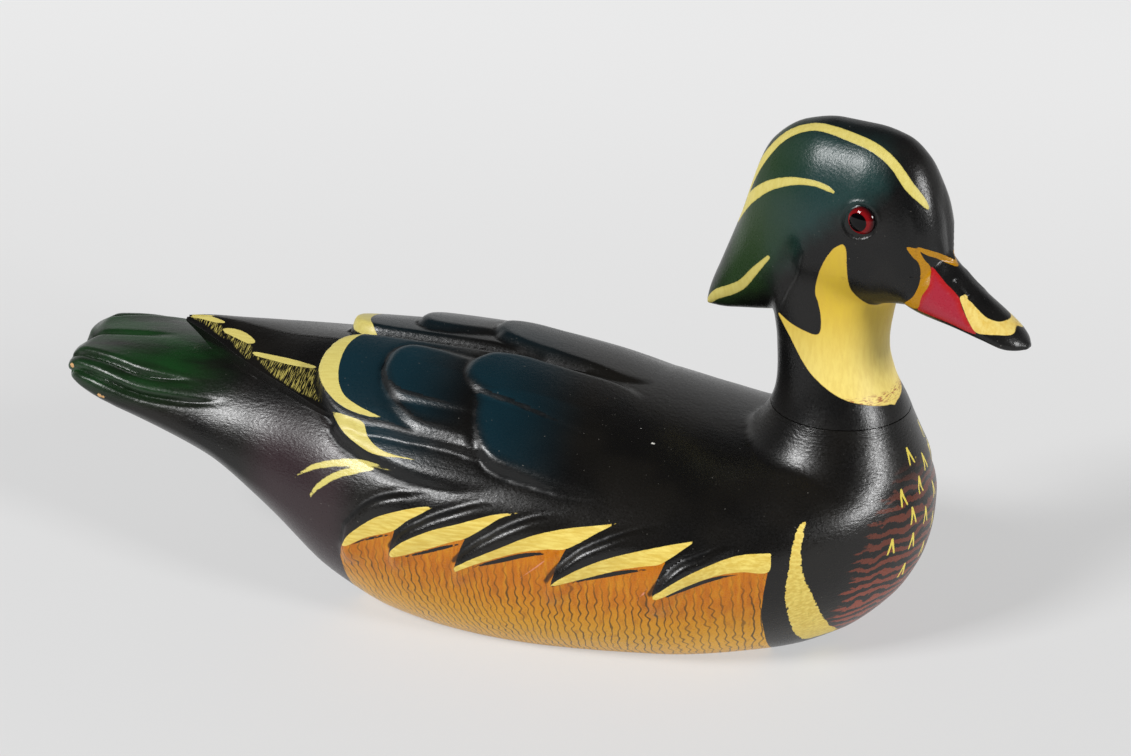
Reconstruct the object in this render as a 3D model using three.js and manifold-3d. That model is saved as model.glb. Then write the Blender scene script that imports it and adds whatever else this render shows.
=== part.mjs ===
// Wood duck drake decoy, carved in wood, painted and varnished, with glass eyes.
// Millimetres, +X towards the bill, +Y to the duck's left, +Z up, standing on its flat underside.
// The body is one carving with wings and tail; the head, crest, bill and neck are a second one,
// glued on at the neck seam and turned a little to the duck's right.

import * as THREE from 'three';
import * as BufferGeometryUtils from 'three/addons/utils/BufferGeometryUtils.js';
import Module from 'manifold-3d';

const wasm = await Module();
wasm.setup();

// Hull of the body: each profile is [x, value] from the tail to the breast
const TAIL_END = -174;
const BREAST_FRONT = 148;
const SPINE_HEIGHT = [[-174, 75], [-167, 78], [-150, 79.5], [-120, 80.5], [-95, 82.5], [-60, 85.5], [-20, 85.5],
  [20, 82.5], [45, 78.5], [65, 74], [85, 71], [110, 75], [130, 74], [142, 65], [148, 50]];
const KEEL_HEIGHT = [[-174, 70.5], [-165, 63.5], [-150, 55.5], [-132, 46], [-110, 34], [-85, 14.5], [-65, -1],
  [-40, -11], [0, -14], [60, -12], [100, -7], [120, 0], [136, 13], [144, 26], [148, 48]];
const HALF_WIDTH = [[-174, 16], [-173, 21.5], [-170, 25.5], [-164, 28.5], [-154, 31], [-140, 32], [-115, 35],
  [-90, 43], [-60, 55.5], [-20, 66], [20, 69], [60, 66.5], [95, 57.5], [120, 45], [136, 31], [144, 19], [148, 3]];
const WIDEST_HEIGHT = [[-174, 71.5], [-165, 69], [-150, 66], [-135, 62], [-115, 55], [-95, 47], [-60, 38],
  [0, 36], [60, 37], [100, 42], [130, 47], [148, 49]];
const UPPER_FULLNESS = [[-174, 3], [-150, 2.4], [-110, 1.9], [-60, 2], [20, 2.15], [148, 2]];
const LOWER_FULLNESS = [[-174, 2], [-150, 1.8], [-110, 1.5], [-60, 1.9], [20, 2.3], [100, 2.2], [148, 2]];
const TAIL_NOTCH = { depth: 4.5, halfWidth: 5, reach: 9 };
const TAIL_SKEW = { slope: 0.13, reach: 25 };
const HULL_FACETS = { around: 30, along: 38, crowding: 0.6 };

// Neck: [height, value]; the stump below the seam belongs to the body, the rest to the head
const SEAM_HEIGHT = 82.5;
const SEAM_GAP = 0.3;
const NECK_FOOT = 42;
const NECK_TOP = 135;
const NECK_CENTRE = [[42, 105], [60, 109], [72, 112], [83, 113], [95, 111], [105, 109.5], [118, 109],
  [135, 109]];
const NECK_HALF_LENGTH = [[42, 37], [60, 37], [72, 30.2], [83, 24.3], [95, 20.5], [105, 19.5], [118, 21],
  [135, 24]];
const NECK_HALF_WIDTH = [[42, 32], [60, 38], [72, 30], [83, 24.5], [95, 20], [105, 18], [118, 17],
  [135, 16]];
const NECK_FACETS = { around: 24, belowSeam: 5, aboveSeam: 7 };

// Head and bill: [forward, value] in the head's own frame, which turns about the pivot
const HEAD_TURN = THREE.MathUtils.degToRad(-20);
const HEAD_PIVOT = 108;
const CROWN = [[-49, 109], [-47, 117], [-42, 129], [-34, 148.5], [-24, 175], [-12, 183.5], [0, 186], [13, 186],
  [24, 184.4], [32, 179.5], [38, 170.6], [41.5, 159], [42.8, 150], [44, 143]];
const JAW = [[-49, 108], [-42, 108.5], [-34, 110], [-24, 112], [-10, 116], [10, 121], [26, 126], [36, 127],
  [41, 132], [44, 141]];
const HEAD_HALF_WIDTH = [[-49, 2], [-47, 4], [-42, 7], [-32, 11], [-16, 16.5], [0, 19], [14, 19], [26, 16.5],
  [35, 12.8], [41, 8], [44, 2.5]];
const HEAD_WAIST = 0.42;
const HEAD_FULLNESS = 2.1;
const HEAD_FACETS = { around: 22, along: 20, crowding: 0.4 };
const BILL_ROOT = 28;
const BILL_TIP = 75;
const BILL_RIDGE = [[28, 148], [41, 148.5], [46, 144.5], [54, 138], [64, 131.3], [71, 126.5], [75, 122.2]];
const BILL_UNDER = [[28, 129], [34, 126.5], [41, 125], [46, 124.3], [62, 121.6], [70, 120], [75, 120.4]];
const BILL_HALF_WIDTH = [[28, 9], [41, 11.2], [52, 10], [60, 9.6], [67, 8.6], [72, 5.8], [75, 1.6]];
const BILL_EDGE = 0.3;
const BILL_FULLNESS = { above: 1.75, below: 2.4 };
const BILL_FACETS = { around: 16, along: 12, crowding: 0.3 };
const CHEEK_HOLLOW = { forward: -13, across: 20.5, height: 130, radius: [5.5, 8, 20], lean: 0.36 };
const EYE = { forward: 19, across: 15.8, height: 158.6, radius: 5.4, dome: 3.6, seat: 0.3 };

// Wing feathers, each a pillow on the hull: tip and root are places along X, inner and outer are
// distances over the back from the spine, and lift is how far it stands off the hull
const MIDLINE_GAP = 0.4;
const FEATHER = { across: 5, along: 7, sink: 3, rim: 0.66, tipRim: 0.3, tipRise: 5, startTurn: 18 };
const WING_FEATHERS = [
  { tip: -73, root: -8, inner: 1.2, outer: 38, drift: 10, bow: 26, lift: 6.4, rootLift: 3.4 },
  { tip: -61, root: -4, inner: 34, outer: 54.5, drift: 6, bow: 32, lift: 4.4, rootLift: -0.8 },
  { tip: -46, root: 0, inner: 20, outer: 42.5, drift: 7, bow: 24, lift: 6.2, rootLift: 2.6 },
  { tip: -47, root: -6, inner: 6, outer: 34, drift: 4, bow: 14, lift: 7.6, rootLift: 3 },
  { tip: -11, root: 40, inner: 28, outer: 57, drift: 0, bow: 24, lift: 5, rootLift: -0.6 },
  { tip: -18, root: 42, inner: 1.4, outer: 32.5, drift: 1, bow: 13, lift: 6, rootLift: -0.6 },
];

// Folded flight feathers: a wedge from under the wing back to a free tip over the tail
const FLIGHT_ROOT = -50;
const FLIGHT_TIP = -131;
const FLIGHT_RIDGE = [[-131, 88.6], [-122, 89.6], [-112, 89], [-99, 87], [-90, 86], [-50, 86.5]];
const FLIGHT_INNER = [[-131, 0.9], [-122, 0.5], [-112, -0.6], [-50, -0.6]];
const FLIGHT_REACH = [[-131, 2.2], [-127, 4.6], [-118, 9.5], [-104, 18.5], [-88, 27], [-64, 38.5], [-50, 42]];
const FLIGHT_STAND = [[-131, 1.2], [-118, 4.2], [-104, 4.6], [-64, 4], [-50, 3]];
const FLIGHT_INSET = 0.86;
const FLIGHT_FACETS = { across: 4, along: 10 };
const FLIGHT_SLOPE = 1.5;
const FLIGHT_UNDERCUT = [[-131, 87], [-124, 83.5], [-118, 79], [-108, 70], [-50, 60]];

// Flank feather fingers: tip place, run towards the breast and rise up the side
const FINGERS = [
  { x: -51, z: 33.5, run: 38, rise: 23 },
  { x: -32, z: 34, run: 48, rise: 23 },
  { x: -7.5, z: 33.5, run: 48, rise: 23 },
  { x: 28, z: 34, run: 50, rise: 20 },
  { x: 62.5, z: 33, run: 42, rise: 18 },
];
const FINGER = { halfWidth: 5.2, lift: 2, sink: 2.5, fade: 0.92 };
const FINGER_SWEEP = [[0, 0], [0.14, 0.5], [0.42, 0.93], [1, 1]];

// Gouged slits between the tail feathers: places [x, distance over the back]
const TAIL_SLITS = [
  [[-168, 16], [-152, 22], [-138, 25.5], [-118, 25]],
  [[-166, 25], [-143, 32.5], [-126, 33], [-104, 32]],
];
const SLIT = { halfWidth: 1.5, depth: 1.8, above: 1.5, fade: 0.5 };
const LEAF_FACETS = { around: 6, along: 6 };
const LEAF_SWELL = { start: 0.06, pace: 1.6, least: 0.05 };

const UP = new THREE.Vector3(0, 0, 1);

// Smooth curve through a profile's points that never swings past them
function curve(profile, at) {
  const last = profile.length - 1;
  const x = THREE.MathUtils.clamp(at, profile[0][0], profile[last][0]);
  let i = 0;
  while (i < last - 1 && x > profile[i + 1][0]) i += 1;
  const rise = (k) => (profile[k + 1][1] - profile[k][1]) / (profile[k + 1][0] - profile[k][0]);
  const slope = (k) => {
    if (k === 0) return rise(0);
    if (k === last) return rise(last - 1);
    const product = rise(k - 1) * rise(k);
    return product > 0 ? 2 * product / (rise(k - 1) + rise(k)) : 0;
  };
  const span = profile[i + 1][0] - profile[i][0];
  const t = (x - profile[i][0]) / span;
  const fromStart = (1 + 2 * t) * (1 - t) ** 2 * profile[i][1] + t * (1 - t) ** 2 * span * slope(i);
  const fromEnd = (3 - 2 * t) * t ** 2 * profile[i + 1][1] + (t - 1) * t ** 2 * span * slope(i + 1);
  return fromStart + fromEnd;
}

// Signed power, which squares up or pinches a round section
function bulge(value, fullness) {
  return Math.sign(value) * Math.abs(value) ** (2 / fullness);
}

// Point of the hull at a place along X and a turn from the spine, positive down the left side
function hullPoint(x, turn) {
  const up = Math.cos(turn);
  const fullness = curve(up >= 0 ? UPPER_FULLNESS : LOWER_FULLNESS, x);
  const middle = curve(WIDEST_HEIGHT, x);
  const height = up >= 0 ? curve(SPINE_HEIGHT, x) - middle : middle - curve(KEEL_HEIGHT, x);
  const y = curve(HALF_WIDTH, x) * bulge(Math.sin(turn), fullness);
  const nearEnd = (reach) => THREE.MathUtils.clamp((TAIL_END + reach - x) / reach, 0, 1);
  const notch = TAIL_NOTCH.depth * nearEnd(TAIL_NOTCH.reach) * Math.exp(-((y / TAIL_NOTCH.halfWidth) ** 2));
  const skew = TAIL_SKEW.slope * nearEnd(TAIL_SKEW.reach) * y;
  return new THREE.Vector3(x + notch - skew, y, middle + height * bulge(up, fullness));
}

// Outward direction of the hull
function hullNormal(x, turn) {
  const along = hullPoint(x + 0.5, turn).sub(hullPoint(x - 0.5, turn));
  const round = hullPoint(x, turn + 0.01).sub(hullPoint(x, turn - 0.01));
  return along.cross(round).normalize();
}

// Turn at which the hull has been followed for a distance over the back from the spine
function turnAtGirth(x, girth) {
  const step = Math.PI / 90;
  let turn = 0;
  let walked = 0;
  let from = hullPoint(x, 0);
  while (turn < Math.PI) {
    const to = hullPoint(x, turn + step);
    const length = to.distanceTo(from);
    if (walked + length >= girth) return turn + step * (girth - walked) / length;
    walked += length;
    turn += step;
    from = to;
  }
  return Math.PI;
}

// Turn at which the hull's side, above its widest line, stands at a height
function turnAtHeight(x, z) {
  const middle = curve(WIDEST_HEIGHT, x);
  const above = z >= middle;
  const height = above ? curve(SPINE_HEIGHT, x) - middle : middle - curve(KEEL_HEIGHT, x);
  const fullness = curve(above ? UPPER_FULLNESS : LOWER_FULLNESS, x);
  const share = THREE.MathUtils.clamp((z - middle) / height, -1, 1);
  return Math.acos(Math.sign(share) * Math.abs(share) ** (fullness / 2));
}

// Closed solid from a geometry whose faces share their corners
function solid(geometry) {
  geometry.deleteAttribute('normal');
  geometry.deleteAttribute('uv');
  const merged = BufferGeometryUtils.mergeVertices(geometry, 1e-4);
  return new wasm.Manifold(new wasm.Mesh({
    numProp: 3,
    vertProperties: new Float32Array(merged.attributes.position.array),
    triVerts: new Uint32Array(merged.index.array),
  }));
}

// Geometry with each corner moved to where the place function puts it
function shaped(geometry, place) {
  const corner = new THREE.Vector3();
  const position = geometry.attributes.position;
  for (let i = 0; i < position.count; i += 1) {
    corner.fromBufferAttribute(position, i);
    const moved = place(corner);
    position.setXYZ(i, moved.x, moved.y, moved.z);
  }
  return geometry;
}

// Solid swept through closed sections: section(t, angle) gives the wall, and centre(t) the end caps
function swept(around, along, section, centre) {
  const tube = new THREE.CylinderGeometry(1, 1, 1, around, along);
  return solid(shaped(tube, (corner) => {
    const t = corner.y + 0.5;
    const onWall = Math.hypot(corner.x, corner.z) > 0.5;
    return onWall ? section(t, Math.atan2(corner.x, corner.z)) : centre(t);
  }));
}

// Share along a length whose steps get closer towards both ends
function eased(t, amount) {
  return (1 - amount) * t + amount * (0.5 - 0.5 * Math.cos(Math.PI * t));
}

function box(size, middle) {
  const block = new THREE.BoxGeometry(...size);
  block.translate(...middle);
  return solid(block);
}

// Point of the head's own frame in the duck's frame
function turned(forward, across, height) {
  const point = new THREE.Vector3(forward, across, height);
  point.applyAxisAngle(UP, HEAD_TURN);
  point.x += HEAD_PIVOT;
  return point;
}

function hull() {
  const { around, along, crowding } = HULL_FACETS;
  const place = (t) => TAIL_END + (BREAST_FRONT - TAIL_END) * eased(t, crowding);
  const middle = (t) => new THREE.Vector3(place(t), 0, curve(WIDEST_HEIGHT, place(t)));
  return swept(around, along, (t, angle) => hullPoint(place(t), -angle), middle);
}

// Part of the neck between two heights
function neck(bottom, top, rings) {
  const height = (t) => bottom + (top - bottom) * t;
  const centre = (t) => new THREE.Vector3(curve(NECK_CENTRE, height(t)), 0, height(t));
  return swept(NECK_FACETS.around, rings, (t, angle) => {
    const reach = curve(NECK_HALF_LENGTH, height(t)) * Math.cos(angle);
    const width = curve(NECK_HALF_WIDTH, height(t)) * Math.sin(angle);
    return centre(t).add(new THREE.Vector3(reach, width, 0));
  }, centre);
}

// Wing feather: a pillow with a round tip, highest behind its rim, sunk into the hull below
function wingFeather(feather, side) {
  const block = new THREE.BoxGeometry(2, 1, 1, FEATHER.across, FEATHER.along, 1);
  const length = feather.root - feather.tip;
  const halfWidth = (feather.outer - feather.inner) / 2;
  return solid(shaped(block, (corner) => {
    const t = corner.y + 0.5;
    const rim = -side * Math.sin(corner.x * Math.PI / 2);
    const bend = THREE.MathUtils.degToRad(THREE.MathUtils.lerp(FEATHER.startTurn, 90, Math.min(t * 2, 1)));
    const straight = Math.max(t * 2 - 1, 0);
    const run = feather.bow * (1 - Math.cos(bend)) + (length - feather.bow) * straight;
    const along01 = run / length;
    const width = halfWidth * Math.sin(bend) * rim;
    const girth = feather.inner + halfWidth + width + feather.drift * along01;
    const x = feather.tip + run;
    const turn = side * turnAtGirth(x, Math.max(girth, MIDLINE_GAP));
    const rounding = Math.sqrt(1 - rim ** 4) * Math.min(1, FEATHER.tipRim + FEATHER.tipRise * along01);
    const crown = THREE.MathUtils.lerp(FEATHER.rim, 1, rounding);
    const lift = (feather.lift + (feather.rootLift - feather.lift) * along01) * crown;
    const stand = corner.z > 0 ? lift : -FEATHER.sink;
    return hullPoint(x, turn).addScaledVector(hullNormal(x, turn), stand);
  }));
}

// Leaf-shaped strip that follows a path over the hull, used as a raised finger or as a cutter
function leaf(path, halfWidth, lift, sink, fade) {
  const step = 0.02;
  const frame = (t) => {
    const here = path(t);
    const ahead = path(Math.min(t + step, 1));
    const behind = path(Math.max(t - step, 0));
    const tangent = ahead.point.clone().sub(behind.point).normalize();
    return { point: here.point, normal: here.normal, across: tangent.clone().cross(here.normal) };
  };
  const opening = (t) => Math.sin(Math.PI * Math.min(0.5, LEAF_SWELL.start + LEAF_SWELL.pace * t));
  const swell = (t) => Math.max(opening(t) * (1 - fade * t), LEAF_SWELL.least);
  return swept(LEAF_FACETS.around, LEAF_FACETS.along, (t, angle) => {
    const { point, normal, across } = frame(t);
    const height = Math.cos(angle) >= 0 ? lift * swell(t) : sink;
    return point.clone()
      .addScaledVector(across, halfWidth * swell(t) * Math.sin(angle))
      .addScaledVector(normal, height * Math.cos(angle));
  }, (t) => frame(t).point);
}

function onHull(x, turn, side) {
  return { point: hullPoint(x, side * turn), normal: hullNormal(x, side * turn) };
}

function finger({ x: tip, z: low, run, rise }, side) {
  const points = FINGER_SWEEP.map(([along, up]) => new THREE.Vector2(tip + along * run, low + up * rise));
  const sweep = new THREE.CubicBezierCurve(...points);
  const path = (t) => {
    const { x, y } = sweep.getPoint(t);
    return onHull(x, turnAtHeight(x, y), side);
  };
  return leaf(path, FINGER.halfWidth, FINGER.lift, FINGER.sink, FINGER.fade);
}

function tailSlit(points, side) {
  const line = new THREE.SplineCurve(points.map(([x, girth]) => new THREE.Vector2(x, girth)));
  const path = (t) => {
    const { x, y } = line.getPoint(t);
    return onHull(x, turnAtGirth(x, y), side);
  };
  return leaf(path, SLIT.halfWidth, SLIT.above, SLIT.depth, SLIT.fade);
}

// Flight feathers of one wing, with an undercut so that the tip stands free of the tail
function flightFeathers(side) {
  const block = new THREE.BoxGeometry(1, 1, 1, FLIGHT_FACETS.across, FLIGHT_FACETS.along, 1);
  return solid(shaped(block, (corner) => {
    const x = FLIGHT_TIP + (FLIGHT_ROOT - FLIGHT_TIP) * (corner.y + 0.5);
    const across = 0.5 - side * corner.x;
    const reach = curve(FLIGHT_REACH, x);
    const ridge = curve(FLIGHT_RIDGE, x);
    const rim = hullPoint(x, turnAtGirth(x, reach)).z + curve(FLIGHT_STAND, x);
    const onTop = corner.z > 0;
    const top = THREE.MathUtils.lerp(ridge, Math.min(rim, ridge), across ** FLIGHT_SLOPE);
    const outward = THREE.MathUtils.lerp(curve(FLIGHT_INNER, x), reach * (onTop ? 1 : FLIGHT_INSET), across);
    return new THREE.Vector3(x, side * outward, onTop ? top : curve(FLIGHT_UNDERCUT, x));
  }));
}

function body() {
  let carving = hull().add(neck(NECK_FOOT, SEAM_HEIGHT, NECK_FACETS.belowSeam));
  for (const side of [-1, 1]) {
    carving = carving.add(flightFeathers(side));
    for (const feather of WING_FEATHERS) carving = carving.add(wingFeather(feather, side));
    for (const spec of FINGERS) carving = carving.add(finger(spec, side));
    for (const points of TAIL_SLITS) carving = carving.subtract(tailSlit(points, side));
  }
  const [length, width, depth] = [400, 200, 40];
  return carving.subtract(box([length, width, depth], [0, 0, -depth / 2]));
}

function skull() {
  const { around, along, crowding } = HEAD_FACETS;
  const start = CROWN[0][0];
  const end = CROWN[CROWN.length - 1][0];
  const place = (t) => start + (end - start) * eased(t, crowding);
  const waist = (x) => THREE.MathUtils.lerp(curve(JAW, x), curve(CROWN, x), HEAD_WAIST);
  return swept(around, along, (t, angle) => {
    const x = place(t);
    const up = Math.cos(angle);
    const height = up >= 0 ? curve(CROWN, x) - waist(x) : waist(x) - curve(JAW, x);
    const y = -curve(HEAD_HALF_WIDTH, x) * bulge(Math.sin(angle), HEAD_FULLNESS);
    return turned(x, y, waist(x) + height * bulge(up, HEAD_FULLNESS));
  }, (t) => turned(place(t), 0, waist(place(t))));
}

function bill() {
  const { around, along, crowding } = BILL_FACETS;
  const place = (t) => BILL_ROOT + (BILL_TIP - BILL_ROOT) * eased(t, crowding);
  const edge = (x) => THREE.MathUtils.lerp(curve(BILL_UNDER, x), curve(BILL_RIDGE, x), BILL_EDGE);
  return swept(around, along, (t, angle) => {
    const x = place(t);
    const up = Math.cos(angle);
    const fullness = up >= 0 ? BILL_FULLNESS.above : BILL_FULLNESS.below;
    const height = up >= 0 ? curve(BILL_RIDGE, x) - edge(x) : edge(x) - curve(BILL_UNDER, x);
    const y = -curve(BILL_HALF_WIDTH, x) * bulge(Math.sin(angle), fullness);
    return turned(x, y, edge(x) + height * bulge(up, fullness));
  }, (t) => turned(place(t), 0, edge(place(t))));
}

// Flattened ball whose short axis points out of the cheek
function eyeBall(side, radius, dome) {
  const ball = new THREE.SphereGeometry(1, 12, 6);
  return solid(shaped(ball, (corner) => turned(
    EYE.forward + radius * corner.z,
    side * EYE.across + dome * corner.x,
    EYE.height + radius * corner.y,
  )));
}

function cheekHollow(side) {
  const ball = new THREE.SphereGeometry(1, 12, 8);
  const { forward, across, height, radius, lean } = CHEEK_HOLLOW;
  return solid(shaped(ball, (corner) => turned(
    forward + radius[0] * corner.z + lean * radius[2] * corner.y,
    side * across + radius[1] * corner.x,
    height + radius[2] * corner.y,
  )));
}

function head() {
  const throat = neck(SEAM_HEIGHT + SEAM_GAP, NECK_TOP, NECK_FACETS.aboveSeam);
  let carving = skull().add(throat).add(bill());
  for (const side of [-1, 1]) {
    carving = carving.subtract(cheekHollow(side));
    carving = carving.subtract(eyeBall(side, EYE.radius + EYE.seat, EYE.dome + EYE.seat));
  }
  return carving;
}

const PAINTED_WOOD = new THREE.MeshStandardMaterial({ color: '#1c1d1f', roughness: 0.38, metalness: 0 });
const PAINTED_HEAD = new THREE.MeshStandardMaterial({ color: '#1f302c', roughness: 0.38, metalness: 0 });
const EYE_GLASS = new THREE.MeshStandardMaterial({ color: '#7a1512', roughness: 0.08, metalness: 0 });

const duck = new THREE.Group();

function addPiece(name, carving, material) {
  const { vertProperties, triVerts } = carving.getMesh();
  const geometry = new THREE.BufferGeometry();
  geometry.setAttribute('position', new THREE.BufferAttribute(vertProperties, 3));
  geometry.setIndex(new THREE.BufferAttribute(triVerts, 1));
  const piece = new THREE.Mesh(geometry, material);
  piece.name = name;
  duck.add(piece);
}

addPiece('body', body(), PAINTED_WOOD);
addPiece('head', head(), PAINTED_HEAD);
addPiece('eye_right', eyeBall(-1, EYE.radius, EYE.dome), EYE_GLASS);
addPiece('eye_left', eyeBall(1, EYE.radius, EYE.dome), EYE_GLASS);

// The origin lies under the middle of the whole decoy
const middle = new THREE.Box3().setFromObject(duck).getCenter(new THREE.Vector3());
duck.position.set(-middle.x, -middle.y, 0);

export default duck;
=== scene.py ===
import math

import bpy
import numpy as np
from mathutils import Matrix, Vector


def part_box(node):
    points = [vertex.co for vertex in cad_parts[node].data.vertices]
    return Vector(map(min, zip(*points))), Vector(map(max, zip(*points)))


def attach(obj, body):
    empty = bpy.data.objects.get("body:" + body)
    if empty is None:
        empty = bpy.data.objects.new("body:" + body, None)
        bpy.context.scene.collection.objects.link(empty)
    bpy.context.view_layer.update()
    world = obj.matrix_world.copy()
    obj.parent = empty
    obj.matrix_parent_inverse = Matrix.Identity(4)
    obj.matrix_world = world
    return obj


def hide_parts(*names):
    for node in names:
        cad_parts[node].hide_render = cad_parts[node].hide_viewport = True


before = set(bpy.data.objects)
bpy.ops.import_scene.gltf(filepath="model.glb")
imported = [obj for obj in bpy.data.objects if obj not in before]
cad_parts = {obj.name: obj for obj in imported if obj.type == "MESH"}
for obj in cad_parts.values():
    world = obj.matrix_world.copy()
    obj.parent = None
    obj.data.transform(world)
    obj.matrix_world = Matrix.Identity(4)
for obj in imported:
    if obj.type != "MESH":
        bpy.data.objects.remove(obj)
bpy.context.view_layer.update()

# The body is one block of wood, carved to a hull with a flat base, folded wings,
# a lifted tail and the stump of the neck. It is built in millimetres, ring by ring
# from the tail to the breast, and the feathers are then carved into it.
BREAST_FRONT = 148
SPINE_HEIGHT = [[-174, 75], [-167, 78], [-150, 79.5], [-120, 80.5], [-95, 82.5], [-60, 85.5], [-20, 85.5],
                [20, 82.5], [45, 78.5], [65, 74], [85, 71], [110, 75], [130, 74], [142, 65], [146, 58.5],
                [147.6, 53], [148, 50]]
KEEL_HEIGHT = [[-174, 70.5], [-165, 63.5], [-150, 55.5], [-132, 46], [-110, 34], [-85, 14.5], [-65, -1],
               [-40, -11], [0, -14], [60, -12], [100, -7], [120, 0], [136, 13], [144, 26], [146.8, 35],
               [147.8, 42], [148, 47]]
HALF_WIDTH = [[-174, 16], [-173, 21.5], [-170, 25.5], [-164, 28.5], [-154, 31], [-140, 32], [-115, 35],
              [-90, 43], [-60, 55.5], [-20, 66], [20, 69], [60, 66.5], [95, 57.5], [120, 45], [136, 31],
              [142, 23.5], [145.5, 16], [147.4, 8.5], [148, 2]]
WIDEST_HEIGHT = [[-174, 71.5], [-165, 69], [-150, 66], [-135, 62], [-115, 55], [-95, 47], [-60, 38],
                 [0, 36], [60, 37], [100, 42], [130, 47], [148, 49]]
UPPER_FULLNESS = [[-174, 3], [-150, 2.4], [-110, 1.9], [-60, 2], [20, 2.15], [148, 2]]
LOWER_FULLNESS = [[-174, 2], [-150, 1.8], [-110, 1.5], [-60, 1.9], [20, 2.3], [100, 2.2], [148, 2]]
TAIL_END = -174
TAIL_NOTCH = {"depth": 4.5, "half_width": 5, "reach": 9}
TAIL_SKEW = {"slope": 0.13, "reach": 25}
HULL_RINGS = 344
HULL_SPOKES = 292
RING_PLACES = [[0, -174], [0.02, -171.5], [0.65, 55], [0.9, 138], [0.975, 147], [1, 148]]
SPOKE_SHARES = [[0, 0], [0.95, 0.77], [1, 1]]
MM = 0.001
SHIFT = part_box("body")[1].x / MM - BREAST_FRONT


def curve(profile, at):
    """Smooth line through a profile's points that never swings past them."""
    x, y = np.array(profile, float).T
    at = np.clip(np.asarray(at, float), x[0], x[-1])
    rise = np.diff(y) / np.diff(x)
    product = rise[1:] * rise[:-1]
    same = product > 0
    middle = np.where(same, 2 * product / np.where(same, rise[1:] + rise[:-1], 1), 0)
    slope = np.concatenate([rise[:1], middle, rise[-1:]])
    i = np.clip(np.searchsorted(x, at, side="right") - 1, 0, len(x) - 2)
    span = x[i + 1] - x[i]
    t = (at - x[i]) / span
    start = (1 + 2 * t) * (1 - t) ** 2 * y[i] + t * (1 - t) ** 2 * span * slope[i]
    end = (3 - 2 * t) * t ** 2 * y[i + 1] + (t - 1) * t ** 2 * span * slope[i + 1]
    return start + end


def bulge(value, fullness):
    return np.sign(value) * np.abs(value) ** (2 / fullness)


def bump(gap, height, width):
    """A round ridge of a height, or groove of a depth, at a distance from its middle."""
    return height * np.exp(-(gap / width) ** 2)


def near_tail(x, reach):
    """1 at the tail's end, falling to 0 a reach before it."""
    return np.clip((TAIL_END + reach - x) / reach, 0, 1)


def hull_point(x, turn):
    """Place on the hull: turn is 0 on the spine and positive down the left side."""
    x, turn = np.broadcast_arrays(x, turn)
    up = np.cos(turn)
    above = up >= 0
    fullness = np.where(above, curve(UPPER_FULLNESS, x), curve(LOWER_FULLNESS, x))
    middle = curve(WIDEST_HEIGHT, x)
    height = np.where(above, curve(SPINE_HEIGHT, x) - middle, middle - curve(KEEL_HEIGHT, x))
    y = curve(HALF_WIDTH, x) * bulge(np.sin(turn), fullness)
    notch = near_tail(x, TAIL_NOTCH["reach"]) * bump(y, TAIL_NOTCH["depth"], TAIL_NOTCH["half_width"])
    skew = TAIL_SKEW["slope"] * near_tail(x, TAIL_SKEW["reach"]) * y
    return np.stack([x + notch - skew, y, middle + height * bulge(up, fullness)], -1)


def pick(piece):
    bpy.ops.object.select_all(action="DESELECT")
    piece.select_set(True)
    bpy.context.view_layer.objects.active = piece


def mesh_corners(piece):
    at = np.empty(len(piece.data.vertices) * 3)
    piece.data.vertices.foreach_get("co", at)
    return at.reshape(-1, 3)


def corners(piece):
    """A piece's corners in millimetres, with the tail end at -174 along X."""
    return mesh_corners(piece) / MM - [SHIFT, 0, 0]


def set_corners(piece, at):
    piece.data.vertices.foreach_set("co", ((at + [SHIFT, 0, 0]) * MM).ravel())
    piece.data.update()


def ball(name, spokes, rings):
    """A ball to be pulled into shape: the piece, and each corner's ring and spoke."""
    bpy.ops.mesh.primitive_uv_sphere_add(segments=spokes, ring_count=rings)
    piece = bpy.context.object
    piece.name = piece.data.name = name
    x, y, z = mesh_corners(piece).T
    ring = np.rint(np.arccos(np.clip(-z, -1, 1)) / math.pi * rings).astype(int)
    spoke = np.rint(np.arctan2(y, x) / math.tau * spokes).astype(int) % spokes
    return piece, ring, spoke


def pull(piece, ring, spoke, walls):
    """Moves each ring to its row of the walls, and the two poles to the middle of the end rows."""
    poles = [walls[:1].mean(1, keepdims=True), walls[-1:].mean(1, keepdims=True)]
    whole = np.concatenate([np.broadcast_to(poles[0], walls[:1].shape), walls,
                            np.broadcast_to(poles[1], walls[:1].shape)])
    set_corners(piece, whole[ring, spoke])


def finish_with(piece, kind, **settings):
    """Adds one modifier and applies it."""
    pick(piece)
    modifier = piece.modifiers.new(kind.title(), kind)
    for key, value in settings.items():
        setattr(modifier, key, value)
    bpy.ops.object.modifier_apply(modifier=modifier.name)


def join(piece, other, operation="UNION"):
    finish_with(piece, "BOOLEAN", operation=operation, object=other, solver="MANIFOLD")
    bpy.data.objects.remove(other)


def spline(points, steps=6, closed=False):
    """Points along a smooth line through the given ones."""
    points = np.array(points, float)
    if closed:
        around = np.concatenate([points[-1:], points, points[:2]])
    else:
        around = np.concatenate([2 * points[:1] - points[1:2], points, 2 * points[-1:] - points[-2:-1]])
    line = []
    for a, b, c, d in zip(around, around[1:], around[2:], around[3:]):
        for t in np.arange(steps) / steps:
            line.append(0.5 * (2 * b + (c - a) * t + (2 * a - 5 * b + 4 * c - d) * t ** 2
                               + (3 * b - a - 3 * c + d) * t ** 3))
    if not closed:
        line.append(points[-1])
    return np.array(line)


FAR = 30.0


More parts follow.
